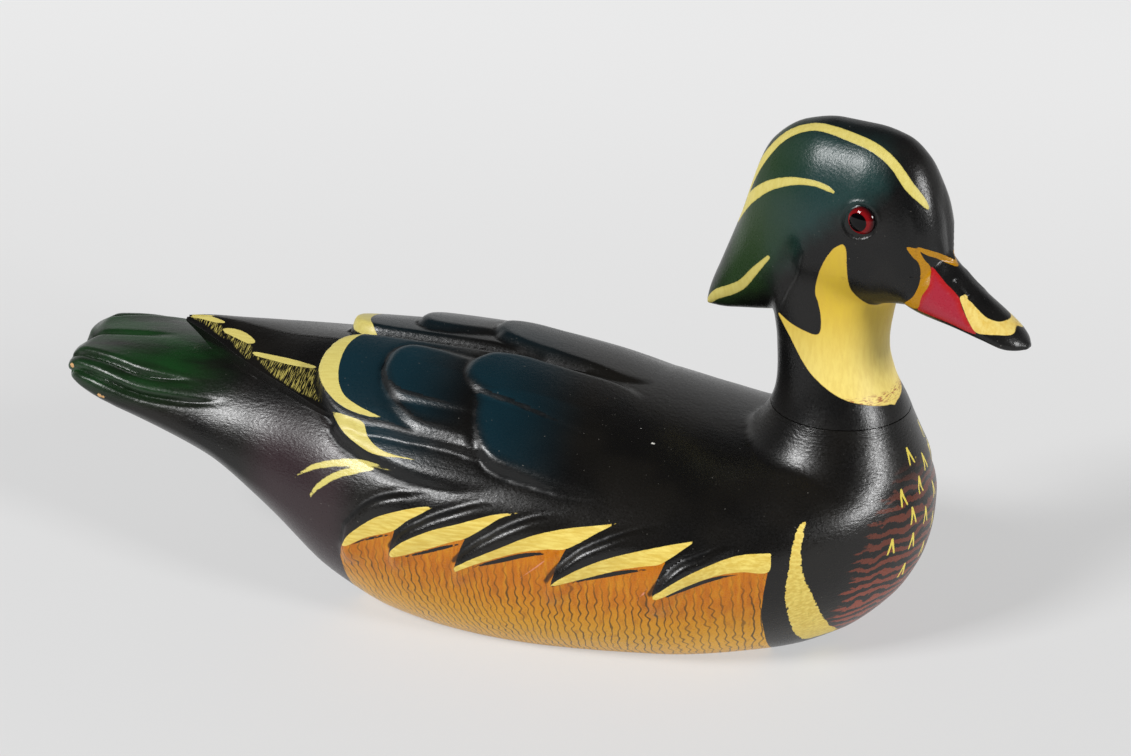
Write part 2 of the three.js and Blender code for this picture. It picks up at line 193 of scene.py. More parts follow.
def line_distance(line, u, v, near=FAR):
    """Distance of each place (u, v) from a line of points, at most near."""
    found = np.full(u.shape, float(near))
    low, high = line.min(0) - near, line.max(0) + near
    close = (u > low[0]) & (u < high[0]) & (v > low[1]) & (v < high[1])
    at = np.stack([u[close], v[close]], -1)
    best = found[close]
    for a, b in zip(line, line[1:]):
        along = b - a
        t = np.clip((at - a) @ along / max(along @ along, 1e-9), 0, 1)
        best = np.minimum(best, np.hypot(*(at - a - t[:, None] * along).T))
    found[close] = best
    return found


def inside_distance(outline, u, v, near=FAR):
    """Distance of each place inside a closed outline, negative outside it."""
    ring = np.concatenate([outline, outline[:1]])
    gap = line_distance(ring, u, v, near)
    low, high = outline.min(0), outline.max(0)
    close = (u > low[0]) & (u < high[0]) & (v > low[1]) & (v < high[1])
    at_u, at_v = u[close], v[close]
    odd = np.zeros(at_u.shape, bool)
    for (ua, va), (ub, vb) in zip(ring, ring[1:]):
        if va != vb:
            crosses = (va > at_v) != (vb > at_v)
            odd ^= crosses & (at_u < ua + (at_v - va) * (ub - ua) / (vb - va))
    inside = np.zeros(u.shape, bool)
    inside[close] = odd
    return np.where(inside, gap, -gap)


def smooth_share(value):
    t = np.clip(value, 0, 1)
    return t * t * (3 - 2 * t)


# Wing feathers, seen from above as [along, distance from the middle], tip first
FEATHERS_ABOVE = 50
WING_FEATHERS = [
    {"outline": [[-61, 41], [-57.5, 44.5], [-54.5, 46.5], [-45, 51], [-36, 54.5], [-25, 57.5], [-8, 59.5],
                 [6, 58], [8, 50], [-20, 44], [-45, 38], [-56, 38]], "tip": 4.2, "root": 0.0, "rim": 3},
    {"outline": [[-56, 1.4], [-63, 2.6], [-69, 6.5], [-72, 13.5], [-72.5, 21], [-70.5, 28], [-66.5, 34],
                 [-60, 39.7], [-51, 43], [-47, 44.4], [-38, 46], [-30, 47.6], [-15, 49.6], [-2, 51.5],
                 [12, 48], [14, 20], [4, 3], [-15, 1.2], [-36, 1.2]], "tip": 6.3, "root": 2.8, "rim": 2.6},
    {"outline": [[-46, 20], [-44.8, 29], [-37.8, 37.6], [-28.6, 44.2], [-19, 46.2], [-9, 47.4], [2, 48],
                 [6, 38], [-10, 24], [-32, 18]], "tip": 6.4, "root": 3.2, "rim": 2.4},
    {"outline": [[-45.2, 27], [-47, 18.5], [-45.2, 11.5], [-39.5, 8], [-30, 8.4], [-20, 10.5], [-6, 14],
                 [2, 24], [0, 36], [-12, 38], [-25.6, 37], [-36, 35.4], [-42.3, 31.8]],
     "tip": 7.9, "root": 3.6, "rim": 3.4},
    {"outline": [[-10, 30], [-8.8, 36], [-7.6, 42.4], [-3.2, 50.5], [1.5, 54.2], [14.5, 56.4], [29.8, 57.4],
                 [46, 55], [50, 42], [44, 28], [10, 24]], "tip": 5.2, "root": -0.6, "rim": 3},
    {"outline": [[-17.3, 21], [-16.6, 13.5], [-12.5, 7], [-5, 4], [6, 2.6], [20, 2.2], [36, 2], [46, 10],
                 [46, 32], [30, 35.6], [16.6, 34.2], [4.6, 32.4], [-4, 31.6], [-9.2, 30.4], [-14.8, 26.4]],
     "tip": 7.4, "root": -0.4, "rim": 3.2},
]
CREASE = {"height": 0.5, "width": 1.4}

# Flank feather fingers, seen from the side as [along, height]: the upper edge from the tip
FINGERS_BELOW = 62
FINGERS_OUTSIDE = 30
FINGER_EDGES = [
    [[-52.8, 34.9], [-51.3, 41.5], [-49.3, 44.1], [-46.6, 47.3], [-42.9, 51.2], [-37.6, 54.4], [-32, 56.4],
     [-25.5, 57.7], [-17.6, 59]],
    [[-32.9, 38.2], [-28.2, 44.5], [-19.1, 50.6], [-8.9, 55.1], [-0.2, 58], [10.7, 59.7]],
    [[-8.4, 37.7], [-4.9, 41.5], [-0.2, 45.7], [4.5, 48.9], [9.7, 52], [16.9, 55.3], [22.5, 56.7],
     [33.4, 58.4]],
    [[25, 35.1], [28.7, 40.6], [35.2, 46.6], [41.9, 50.2], [49.6, 53.2], [57.7, 55.3], [65.7, 56.2]],
    [[60.7, 33.5], [64.4, 39.5], [70.1, 45.2], [77, 48.1], [83.2, 50.5], [91.2, 52.2]],
]
FINGER = {"lift": 2.2, "rim": 2.4, "slope": 9.0, "crease": 0.7, "crease_width": 1.1}

# Gouged slits of the tail, as [along, distance over the back], and the line down its middle
TAIL_SLITS = [
    [[-176, 14.2], [-168, 16.6], [-152, 22], [-138, 25.6], [-118, 25]],
    [[-176, 21.5], [-166, 25.2], [-143, 32.8], [-126, 33.4], [-104, 32]],
]
SLIT = {"groove": 1.6, "depth": 1.8, "step": 1.6, "fall": 5, "end": -173}
TAIL_LINE = {"front": -134, "above": 66, "depth": 1.3, "width": 1.6}


def share_along(line, along):
    """0 at a line's first point and 1 at its last."""
    return (along - line[0, 0]) / (line[-1, 0] - line[0, 0])


def finger_relief(along, height):
    """How far the flank fingers stand out: a crease, a round rim, then a slope down to the next."""
    relief = np.zeros(along.shape)
    for edge in FINGER_EDGES:
        line = spline(edge)
        gap = line_distance(line, along, height, 16)
        under = np.interp(along, line[:, 0], line[:, 1]) > height
        share = share_along(line, along)
        fade = smooth_share((1.04 - share) * 1.8) * smooth_share((share + 0.05) * 8)
        body = np.sin(np.clip(gap / FINGER["rim"], 0, 1) * np.pi / 2)
        slope = smooth_share(1 - (gap - FINGER["rim"]) / FINGER["slope"])
        crease = -bump(gap, FINGER["crease"], FINGER["crease_width"])
        relief += np.where(under, FINGER["lift"] * body * slope * fade, crease * fade)
    return relief


def feather_relief(along, across):
    """Wing feathers laid one over the next, each with a round rim and a crease beside it."""
    relief = np.zeros(along.shape)
    for feather in WING_FEATHERS:
        outline = spline(feather["outline"], closed=True)
        gap = inside_distance(outline, along, across, 12)
        low, high = outline[:, 0].min(), outline[:, 0].max()
        share = np.clip((along - low) / (high - low), 0, 1)
        top = feather["tip"] + (feather["root"] - feather["tip"]) * share
        rim = np.sin(np.clip(gap / feather["rim"], 0, 1) * np.pi / 2)
        fade = smooth_share((1 - share) * 2)
        crease = bump(gap, **CREASE) * fade
        relief = np.where(gap > 0, relief + np.maximum(top - relief, 0) * rim, relief - crease)
    return relief


def slit_relief(along, girth):
    """Tail feathers that overlap like tiles: a groove, and a step down on its outer side."""
    relief = np.zeros(along.shape)
    for path in TAIL_SLITS:
        line = spline(path)
        gap = line_distance(line, along, girth, 16)
        outer = girth > np.interp(along, line[:, 0], line[:, 1])
        fade = smooth_share((1.02 - share_along(line, along)) * 2.5)
        groove = bump(gap, SLIT["depth"], SLIT["groove"])
        inner = SLIT["step"] * np.exp(-gap / SLIT["fall"]) * ~outer * smooth_share(gap / 1.2)
        relief += (inner - groove) * fade
    return relief


def outward(walls):
    """The direction out of the hull at each of its points."""
    along = np.gradient(walls, axis=0)
    around = np.roll(walls, -1, 1) - np.roll(walls, 1, 1)
    normal = np.cross(around, along)
    normal /= np.linalg.norm(normal, axis=-1, keepdims=True) + 1e-12
    from_middle = walls - walls.mean(1, keepdims=True)
    return normal * np.sign((normal * from_middle).sum(-1).mean())


def carved_hull():
    piece, ring, spoke = ball("body_carving", HULL_SPOKES, HULL_RINGS)
    rows = HULL_RINGS - 1
    x = curve(RING_PLACES, np.linspace(0, 1, rows))[:, None]
    turn = np.linspace(0, np.pi, 721)[None]
    section = hull_point(x, turn)
    girth = np.cumsum(np.hypot(*np.diff(section[..., 1:], axis=1).transpose(2, 0, 1)), axis=1)
    girth = np.concatenate([np.zeros((rows, 1)), girth], 1)
    spokes = (np.pi / 2 - np.arange(HULL_SPOKES) / HULL_SPOKES * math.tau + np.pi) % math.tau - np.pi
    share = np.interp(np.abs(spokes) / np.pi, *np.array(SPOKE_SHARES).T)
    reach = share[None] * girth[:, -1:]
    turns = np.array([np.interp(reach[i], girth[i], turn[0]) for i in range(rows)])
    walls = hull_point(x, np.sign(spokes) * turns)
    along, across, height = walls[..., 0], np.abs(walls[..., 1]), walls[..., 2]
    relief = smooth_share((height - FEATHERS_ABOVE) / 8) * feather_relief(along, across)
    flank = smooth_share((FINGERS_BELOW - height) / 4) * (across > FINGERS_OUTSIDE)
    relief += flank * finger_relief(along, height)
    relief += slit_relief(along, reach) * smooth_share((along - SLIT["end"]) / 5)
    middle = smooth_share((TAIL_LINE["front"] - along) / 20) * (height > TAIL_LINE["above"])
    relief -= middle * bump(across, TAIL_LINE["depth"], TAIL_LINE["width"])
    pull(piece, ring, spoke, walls + relief[..., None] * outward(walls))
    return piece


body = carved_hull()

# The stump of the neck stands up out of the same block, and it is planed flat
# where the head is glued on.
SEAM_HEIGHT = 82.5
SEAM_GAP = 0.3
NECK_CENTRE = [[42, 105], [60, 109], [72, 112], [83, 113], [95, 111], [105, 109.5], [118, 109], [135, 109]]
NECK_HALF_LENGTH = [[42, 37], [60, 37], [72, 30.2], [83, 24.3], [95, 20.5], [105, 19.5], [118, 21], [135, 24]]
NECK_HALF_WIDTH = [[42, 32], [60, 38], [72, 30], [83, 24.5], [95, 20], [105, 18], [118, 17], [135, 16]]
NECK_FOOT = 42
NECK_TOP = 135
NECK_SPOKES = 144
NECK_RING_SPACING = 1.2


def neck(name, bottom, top):
    rows = int((top - bottom) / NECK_RING_SPACING)
    piece, ring, spoke = ball(name, NECK_SPOKES, rows + 1)
    height = np.linspace(bottom, top, rows)[:, None]
    angle = np.arange(NECK_SPOKES)[None] / NECK_SPOKES * math.tau
    walls = np.stack([
        curve(NECK_CENTRE, height) + curve(NECK_HALF_LENGTH, height) * np.cos(angle),
        curve(NECK_HALF_WIDTH, height) * np.sin(angle),
        np.broadcast_to(height, (rows, NECK_SPOKES)),
    ], -1)
    pull(piece, ring, spoke, walls)
    return piece


join(body, neck("neck_stump", NECK_FOOT, SEAM_HEIGHT))

# The folded flight feathers are carved from the same block too: a wedge runs
# from under each wing back to a free tip over the tail.
FLIGHT_ROOT = -50
FLIGHT_TIP = -131
FLIGHT_RIDGE = [[-131, 88.6], [-122, 89.6], [-112, 89], [-99, 87], [-90, 86], [-50, 86.5]]
FLIGHT_INNER = [[-131, 0.9], [-122, 0.5], [-112, -0.6], [-50, -0.6]]
FLIGHT_REACH = [[-131, 2.2], [-127, 4.6], [-118, 9.5], [-104, 18.5], [-88, 27], [-64, 38.5], [-50, 42]]
FLIGHT_RIM = [[-131, 88], [-122, 86.8], [-113, 84.9], [-99, 81.8], [-88, 79.8], [-77, 77.6], [-64, 74.5],
              [-50, 71]]
FLIGHT_UNDERCUT = [[-131, 87.2], [-124, 83.5], [-118, 79], [-108, 70], [-50, 60]]
FLIGHT_INSET = 0.86
FLIGHT_SLOPE = 1.5
FLIGHT_BEVEL = 1.1


def flight_feathers(side):
    bpy.ops.mesh.primitive_cube_add(size=1)
    piece = bpy.context.object
    bpy.ops.object.mode_set(mode="EDIT")
    bpy.ops.mesh.select_all(action="SELECT")
    bpy.ops.mesh.subdivide(number_cuts=15)
    bpy.ops.object.mode_set(mode="OBJECT")
    along, across, up = (mesh_corners(piece) + 0.5).T
    if side < 0:
        across = 1 - across
    x = FLIGHT_TIP + (FLIGHT_ROOT - FLIGHT_TIP) * along
    ridge = curve(FLIGHT_RIDGE, x)
    rim = np.minimum(curve(FLIGHT_RIM, x), ridge)
    top = ridge + (rim - ridge) * across ** FLIGHT_SLOPE
    base = curve(FLIGHT_UNDERCUT, x)
    inner = curve(FLIGHT_INNER, x)
    reach = curve(FLIGHT_REACH, x) * (FLIGHT_INSET + (1 - FLIGHT_INSET) * up)
    y = side * (inner + (reach - inner) * across)
    set_corners(piece, np.stack([x, y, base + (top - base) * up], -1))
    finish_with(piece, "BEVEL", width=FLIGHT_BEVEL * MM, segments=2, limit_method="ANGLE",
                angle_limit=math.radians(40))
    finish_with(piece, "SUBSURF", levels=1, render_levels=1)
    return piece


for side in (-1, 1):
    join(body, flight_feathers(side))

# The base is planed flat, the foot of the neck is sanded into the breast and back,
# and a lighter sanding takes the tool's edge off the feathers.
NECK_SANDING = {"forward": 110, "stretch": 1.15, "radius": 52, "low": 44, "high": 81.5, "strokes": 40}
FEATHER_SANDING = {"above": 28, "behind": 60, "tail": -100, "strokes": 3}


def plane_flat(piece, height):
    """Cuts off what is below a height, and closes the cut."""
    pick(piece)
    bpy.ops.object.mode_set(mode="EDIT")
    bpy.ops.mesh.select_all(action="SELECT")
    bpy.ops.mesh.bisect(plane_co=(0, 0, height * MM), plane_no=(0, 0, 1), use_fill=True, clear_inner=True)
    bpy.ops.object.mode_set(mode="OBJECT")


def sand(piece, weights, strokes):
    """Smooths a piece where the weights are above nothing."""
    group = piece.vertex_groups.new(name="sand")
    for i in np.nonzero(weights > 0.01)[0]:
        group.add([int(i)], float(weights[i]), "REPLACE")
    finish_with(piece, "SMOOTH", factor=0.5, iterations=strokes, vertex_group="sand")
    piece.vertex_groups.remove(piece.vertex_groups["sand"])


plane_flat(body, 0)
x, y, z = corners(body).T
from_neck = np.hypot((x - NECK_SANDING["forward"]) / NECK_SANDING["stretch"], y)
foot = smooth_share((NECK_SANDING["radius"] - from_neck) / 8)
foot = foot * smooth_share((z - NECK_SANDING["low"]) / 8) * smooth_share((NECK_SANDING["high"] - z) / 2)
sand(body, foot, NECK_SANDING["strokes"])
x, y, z = corners(body).T
feathers = smooth_share((z - FEATHER_SANDING["above"]) / 4)
feathers = feathers * smooth_share((FEATHER_SANDING["behind"] - x) / 30)
sand(body, feathers * np.where(x < FEATHER_SANDING["tail"], 0.6, 0.7), FEATHER_SANDING["strokes"])

# The body is painted black, with blue-green wings and a green tail. Cream bands edge the feathers, the
# flanks are tan with fine wavy lines, and the breast is chestnut with cream ticks. Outlines are seen from
# the side as [along, height], or from above as [along, distance from the middle].
FLANK_BANDS = [
    {"over": [[-52.3, 33.4], [-48.5, 39.4], [-39, 47.3], [-30.5, 51.3], [-22.3, 53.9], [-16.8, 54.6]],
     "under": [[-16.8, 54.6], [-21, 52], [-26.3, 48.6], [-30.7, 44.5], [-34.4, 42.5], [-42, 39.2],
               [-49.5, 34.6], [-52.3, 33.4]]},
    {"over": [[-32.9, 34.3], [-31.7, 37.4], [-26.3, 42.4], [-16.3, 47.9], [-5.7, 51.8], [4.7, 55.3],
              [15.4, 57.1]],
     "under": [[15.4, 57.1], [7.7, 54.6], [2.5, 51], [-4.2, 46.4], [-10.6, 43.7], [-21.5, 38.7],
               [-32.9, 34.3]]},
    {"over": [[-8.4, 33.5], [-7.4, 36], [-1.7, 40], [8.4, 45.5], [18.3, 50.4], [29.2, 53.4], [47.8, 56.2]],
     "under": [[47.8, 56.2], [42, 53.3], [31.7, 47.4], [24.8, 46.5], [14, 44], [-1.2, 37.7], [-8.4, 33.5]]},
    {"over": [[26.8, 34.2], [29.7, 37], [37.2, 41.8], [48, 46.6], [63.7, 50.3], [75, 52.2]],
     "under": [[75, 52.2], [71.6, 50], [65.9, 46], [63.4, 44.6], [58.5, 43.7], [50.8, 42], [38, 37.6],
               [26.8, 34.2]]},
    {"over": [[61.4, 32.7], [63.9, 35.3], [71.4, 40.9], [81, 45.8], [90.2, 48.2], [100, 48.7]],
     "under": [[100, 48.7], [99.3, 41.9], [90.7, 42.4], [81.5, 41], [71.6, 36.8], [63.7, 32.8],
               [61.4, 32.7]]},
]
TAN_PANEL = [[-54, -6], [-54, 28], [-52.3, 33.4], [-42, 39.7], [-34.4, 43], [-30.9, 44.8], [-32.5, 38.5],
             [-33, 34.3], [-21.5, 39.2], [-10.6, 44.2], [-4.2, 46.6], [-6.2, 42], [-8.5, 33.5], [-1.2, 38.2],
             [14, 44.5], [24.8, 47], [31.7, 47.6], [28.4, 40.5], [26.9, 34], [38, 38], [50.8, 42.4],
             [63.4, 45], [65.9, 46.2], [63.2, 39.5], [61.4, 32.9], [71.6, 37.2], [81.5, 41.4], [90.7, 42.8],
             [99.3, 42.4], [98.1, 34], [97.1, 25], [97.6, 15], [97.6, 6.5], [97.6, -6]]
SHADOW_LINES = [
    [[-49, 34.2, 0.2], [-44, 37.4, 0.4], [-37, 40.6, 0.4], [-32, 42.6, 0.1]],
    [[-27, 35.8, 0.2], [-20, 38.4, 0.55], [-12, 41.8, 0.6], [-5, 44.4, 0.15]],
    [[-1.5, 36.9, 0.2], [7, 40, 0.8], [17, 43.6, 0.8], [26, 45.4, 0.2]],
    [[34, 36, 0.3], [43, 38.8, 0.8], [52, 41.2, 0.7], [60, 42.8, 0.15]],
    [[66, 33.6, 0.3], [73, 36.8, 0.8], [82, 40.2, 0.7], [90, 41.4, 0.15]],
]
SHOULDER_CRESCENT = [[108.8, 57.8], [107.6, 56.3], [106.7, 51], [106, 45], [105.3, 38], [105, 31],
                     [105.6, 23.7], [106.6, 14.8], [108, 8.6], [110, 5], [118, 5], [119.4, 7.4], [117.6, 14],
                     [115, 25], [112.3, 34.5], [110.1, 42], [109.4, 49.4], [109.7, 54.3], [109.8, 57]]
WING_BAND = {
    "over": [[-57, 0.8], [-63, 3], [-68.5, 7], [-71.2, 14], [-71.7, 21], [-69.8, 28], [-65.8, 34],
             [-59.5, 39], [-51, 42.6], [-38, 45.2]],
    "under": [[-38, 45.2], [-45.6, 42.4], [-51.7, 39.9], [-57.6, 36.4], [-61.6, 30.6], [-63.8, 21.4],
              [-63.4, 11], [-59.5, 3.4], [-54, 0.8]],
}
# The lower band lies on the wing's steep side, and is seen at 45 degrees
LOWER_WING_BAND = {
    "over": [[-61.3, -25.1], [-55.3, -18.3], [-49.9, -14.4], [-42.7, -10.9], [-35.1, -9.7], [-25.3, -9.6]],
    "under": [[-25.3, -9.6], [-34.8, -10.9], [-40.7, -13], [-45.4, -17], [-47.6, -21.3], [-53.7, -23.3],
              [-61.3, -25.1]],
}
FLIGHT_BANDS = [
    [[-130, 0.9], [-126, -0.6], [-119, 1.2], [-115, 2.7], [-118.6, 3.6], [-125, 2.2]],
    [[-115, 6], [-110, 5.2], [-105, 6.6], [-101, 9.6], [-102.4, 11.6], [-108.2, 9.8], [-113.6, 7.8]],
    [[-100, 15.1], [-95, 15], [-85.6, 15.9], [-75.8, 18.1], [-74, 19.6], [-83.2, 19.3], [-91.6, 17.9],
     [-98.8, 16.8]],
]
FLIGHT_HATCHING = [
    [[-129, 1.4], [-116.4, 3.5], [-113, 10.6], [-121.5, 5.4]],
    [[-113.6, 7.9], [-101.4, 11.5], [-99, 20.4], [-106, 15.2]],
    [[-98.8, 16.9], [-74, 19.6], [-64, 36], [-77.5, 31.6], [-88.7, 25.6]],
]
RUMP_STROKES = [
    [[-73.1, 52.2, 0.1], [-69, 55.4, 0.5], [-64.6, 58, 0.9], [-55.3, 61, 1.1], [-43.8, 62.8, 1],
     [-33.6, 63.4, 0.3]],
    [[-66.6, 46, 0.1], [-64.8, 49.4, 0.6], [-62.5, 52.1, 0.9], [-55.9, 57, 1.1], [-48, 60.2, 1],
     [-42, 61.8, 0.6]],
]

# Tips of the breast's ticks, then marks in the varnish and chips that end with their half width
BREAST_TICKS = [
    [139.7, 4, 76.3], [143.6, 4, 68], [138.6, -12.8, 73.1], [143.2, -6, 68.6], [142.7, -12.6, 62.7],
    [145.8, -1.6, 56.2], [138, -21.9, 61.5], [142.1, -20.4, 54.5], [145.3, -12.6, 51.5], [147.4, -3.6, 45.5],
    [137.2, -29.3, 46], [142.8, -20.5, 44.9], [145.1, -10.2, 37.1], [140.5, -20.6, 33],
]
BREAST_EDGE = [[135.4, 90], [137, 70], [135, 62.7], [133, 56.6], [131, 50], [127.8, 44.4], [126, 36.6],
               [124, 27.9], [120, 18.9], [118.4, 14], [117, -6], [150, -6], [150, 90]]
SPECKS = [[53.1, -30.7, 73, 0.75], [76.8, -37, 66.1, 0.5], [47.3, -25.1, 75.6, 0.35], [33.8, -25.2, 79, 0.3],
          [62.4, 2.4, 74.5, 0.3], [16.3, -11.2, 85.3, 0.35]]
SCRATCHES = [
    [[25.3, -68.3, 43.7, 0.1], [22.2, -68.8, 40.4, 0.3], [18.7, -69, 37.3, 0.25], [15.1, -68.9, 34.1, 0.1]],
    [[60.3, -66.5, 36.1, 0.1], [58.6, -66.6, 33.6, 0.35], [56.5, -66.6, 30.6, 0.1]],
]
SCUFFS = [[-168.5, -23, 74, 1.1], [-173, -12, 75.5, 1.2], [-168, -24.5, 72.5, 0.8], [-154.6, -30.8, 67, 0.9],
          [-153, -30.9, 66.6, 0.6]]


def strokes_inside(strokes, places):
    """Distance inside brush strokes whose points end with the stroke's half width."""
    inside = np.full(len(places), -FAR)
    for stroke in strokes:
        stroke = spline(stroke, 4)
        for a, b in zip(stroke, stroke[1:]):
            along = (b - a)[:-1]
            t = np.clip((places - a[:-1]) @ along / max(along @ along, 1e-9), 0, 1)
            width = a[-1] + (b[-1] - a[-1]) * t
            inside = np.maximum(inside, width - np.linalg.norm(places - a[:-1] - t[:, None] * along, axis=1))
    return inside


def areas_inside(outlines, u, v):
    return np.maximum.reduce([inside_distance(np.array(outline), u, v, 12) for outline in outlines])


def spots_inside(spots, places):
    """Distance inside round spots, each given by its place and radius."""
    spots = np.array(spots)
    return np.maximum.reduce([spot[3] - np.linalg.norm(places - spot[:3], axis=1) for spot in spots])


def band_outline(band):
    return np.concatenate([spline(band["over"]), spline(band["under"])])


def layer(piece, name, values):
    """Keeps a number at each corner for the paint to read."""
    numbers = piece.data.attributes.new(name, "FLOAT", "POINT")
    numbers.data.foreach_set("value", values.astype(np.float32))


at = corners(body)
x, y, z = at.T
across = np.abs(y)
on_top = np.where(z > 60, 0, -2 * FAR)
on_flight = np.where((z > curve(FLIGHT_RIM, x) - 1.4) & (y < 1), 0, -2 * FAR)
crescent = areas_inside([spline(SHOULDER_CRESCENT, closed=True)], x, z)
lower_cream = areas_inside([band_outline(LOWER_WING_BAND)], x, (across - z) * math.sqrt(0.5))
layer(body, "cream", np.maximum.reduce([
    areas_inside([band_outline(band) for band in FLANK_BANDS], x, z),
    crescent,
    areas_inside([band_outline(WING_BAND)], x, across) + on_top,
    np.where(z > 62, lower_cream, -FAR),
    areas_inside([spline(band, closed=True) for band in FLIGHT_BANDS], x, across) + on_flight,
]))
layer(body, "rump_cream", strokes_inside(RUMP_STROKES, at[:, [0, 2]]))
layer(body, "crescent", crescent)
layer(body, "hatching", areas_inside(FLIGHT_HATCHING, x, across) + on_flight)
layer(body, "tan", areas_inside([TAN_PANEL], x, z))
layer(body, "shadow_line", strokes_inside(SHADOW_LINES, at[:, [0, 2]]))
layer(body, "breast", areas_inside([BREAST_EDGE], x, z))
layer(body, "scuffs", spots_inside(SCUFFS, at))
layer(body, "specks", strokes_inside([[spot, spot] for spot in SPECKS] + SCRATCHES, at))

# Each wing feather is blue-green towards its tip, and the deep side of every carved edge gets a painted shade
blue = np.zeros(len(at))
crease = np.full(len(at), FAR)
for feather in WING_FEATHERS:
    outline = spline(feather["outline"], closed=True)
    low, high = outline[:, 0].min(), outline[:, 0].max()
    share = (x - low) / (high - low)
    gap = inside_distance(outline, x, across, 8)
    blue = np.maximum(blue, smooth_share(gap / 5 + 0.3) * smooth_share(1.2 - 1.7 * share) * (z > 60))
    beside = np.abs(gap + 0.3) + 3 * smooth_share(1.7 * share - 0.7) + FAR * (z < 58)
    crease = np.where((gap > 1) & (z > 58), FAR, np.minimum(crease, beside))
for edge in FINGER_EDGES:
    line = spline(edge)
    shallow = 3 * smooth_share(1.8 * share_along(line, x) - 0.8)
    crease = np.minimum(crease, line_distance(line, x, z, 8) + shallow + FAR * (z > FINGERS_BELOW))
layer(body, "blue", blue * np.where(y > 1, 0.4, 1))
layer(body, "crease", crease)

# Each breast tick is an upside-down V: the paint gets its own flat place, across and down
tick = np.zeros((len(at), 3))
nearest = np.full(len(at), FAR)
for place in [*BREAST_TICKS, *[[a, -b, c] for a, b, c in BREAST_TICKS if abs(b) > 4.5]]:
    place = np.array(place)
    out = np.array([place[0] - 100, place[1], (place[2] - 48) * 0.6])
    out /= np.linalg.norm(out)
    side = np.cross([0, 0, 1], out)
    side /= np.linalg.norm(side)
    down = np.cross(side, out)
    down *= -np.sign(down[2])
    gap = np.linalg.norm(at - place - 2.5 * down, axis=1)
    here = gap < nearest
    nearest[here] = gap[here]
    tick[here] = np.stack([(at - place) @ side, (at - place) @ down, 4 - gap], -1)[here]
for name, values in zip(("tick_across", "tick_down", "tick_near"), tick.T):
    layer(body, name, values)


def paint(red, green, blue):
    """A paint colour as seen on a screen, 0 to 255, in the renderer's own scale."""
    shares = np.array([red, green, blue]) / 255
    linear = np.where(shares <= 0.04045, shares / 12.92, ((shares + 0.055) / 1.055) ** 2.4)
    return (*linear, 1)


class Wire:
    """A socket of a paint's nodes, which can be added to, multiplied with and compared with others."""

    def __init__(self, tree, socket=None):
        self.tree, self.socket = tree, socket

    def node(self, kind, settings=None, sockets=None, output=0):
        node = self.tree.nodes.new("ShaderNode" + kind)
        for key, value in (settings or {}).items():
            setattr(node, key, value)
        for key, value in (sockets or {}).items():
            if isinstance(value, Wire):
                self.tree.links.new(value.socket, node.inputs[key])
            else:
                node.inputs[key].default_value = value
        return Wire(self.tree, node.outputs[output])

    def math(self, operation, *others):
        return self.node("Math", {"operation": operation}, dict(enumerate((self, *others))))

    def __add__(self, other):
        return self.math("ADD", other)

    def __sub__(self, other):
        return self.math("SUBTRACT", other)

    def __rsub__(self, other):
        return self.math("MULTIPLY_ADD", -1.0, other)

    def __mul__(self, other):
        return self.math("MULTIPLY", other)

    __radd__, __rmul__ = __add__, __mul__

    def __abs__(self):
        return self.math("ABSOLUTE")

    def step(self, start, end):
        """0 below start and 1 above end, with a soft change between them."""
        return self.node("MapRange", {"interpolation_type": "SMOOTHSTEP"},
                         {"Value": self, "From Min": start, "From Max": end})

    def between(self, first, second):
        """The first colour where this is 0, and the second where it is 1."""
        return self.node("Mix", {"data_type": "RGBA"}, {0: self, 6: first, 7: second}, 2)

    def over(self, share, colour):
        """This colour with another laid over it where the share is 1."""
        return share.between(self, colour)

    def parts(self):
        """The three numbers of a place."""
        split = self.node("SeparateXYZ", sockets={0: self}).socket.node
        return [Wire(self.tree, socket) for socket in split.outputs]


def new_paint(name, roughness):
    """A paint: its wire, its shader, and where it is on the piece."""
    material = bpy.data.materials.new(name)
    material.use_nodes = True
    wire = Wire(material.node_tree)
    shader = material.node_tree.nodes["Principled BSDF"]
    shader.inputs["Roughness"].default_value = roughness
    return material, wire, shader, wire.node("TexCoord", output=3)


def kept(wire, name):
    return wire.node("Attribute", {"attribute_name": name}, output=2)


def millimetres(place):
    """How far forward, left and up a place is."""
    return place.node("VectorMath", {"operation": "SCALE"}, {0: place, "Scale": 1 / MM}).parts()


def grain(place, size, stretch=(1, 1, 1), turn=(0, 0, 0), detail=3):
    """Noise from 0 to 1 whose patches are about size millimetres, longer where stretch is more."""
    scale = tuple(1 / (MM * size * value) for value in stretch)
    placed = place.node("Mapping", sockets={"Vector": place, "Rotation": turn, "Scale": scale})
    return place.node("TexNoise", sockets={"Vector": placed, "Scale": 1.0, "Detail": detail,
                                           "Roughness": 0.55})


def connect(shader, colour, roughness=None, height=None):
    """Feeds a shader its colour and, where they vary, its roughness and the height of its skin."""
    links = colour.tree.links
    links.new(colour.socket, shader.inputs["Base Color"])
    if roughness:
        links.new(roughness.socket, shader.inputs["Roughness"])
    if height:
        bump = colour.node("Bump", sockets={"Height": height, "Strength": 0.7, "Distance": MM})
        links.new(bump.socket, shader.inputs["Normal"])


def dark_coat(wire, place, along, height, broad):
    """Black, blue-green over the wings, green on the tail and purple-brown at the rump."""
    black = broad.step(0.35, 0.65).between(paint(12, 11, 10), paint(20, 18, 15))
    colour = black.over(kept(wire, "blue") * (0.6 + 0.5 * broad), paint(12, 42, 52))
    along = along - SHIFT
    tail = along.step(-98, -130) * height.step(63, 74) * height.step(83.5, 81.5)
    tail = tail * grain(place, 9, (4, 1, 1)).step(0.2, 0.75)
    colour = colour.over(tail * 0.9, paint(20, 62, 24))
    rump = along.step(-100, -82) * along.step(-45, -60) * height.step(75, 60)
    return colour.over(rump * 0.4, paint(72, 52, 58))


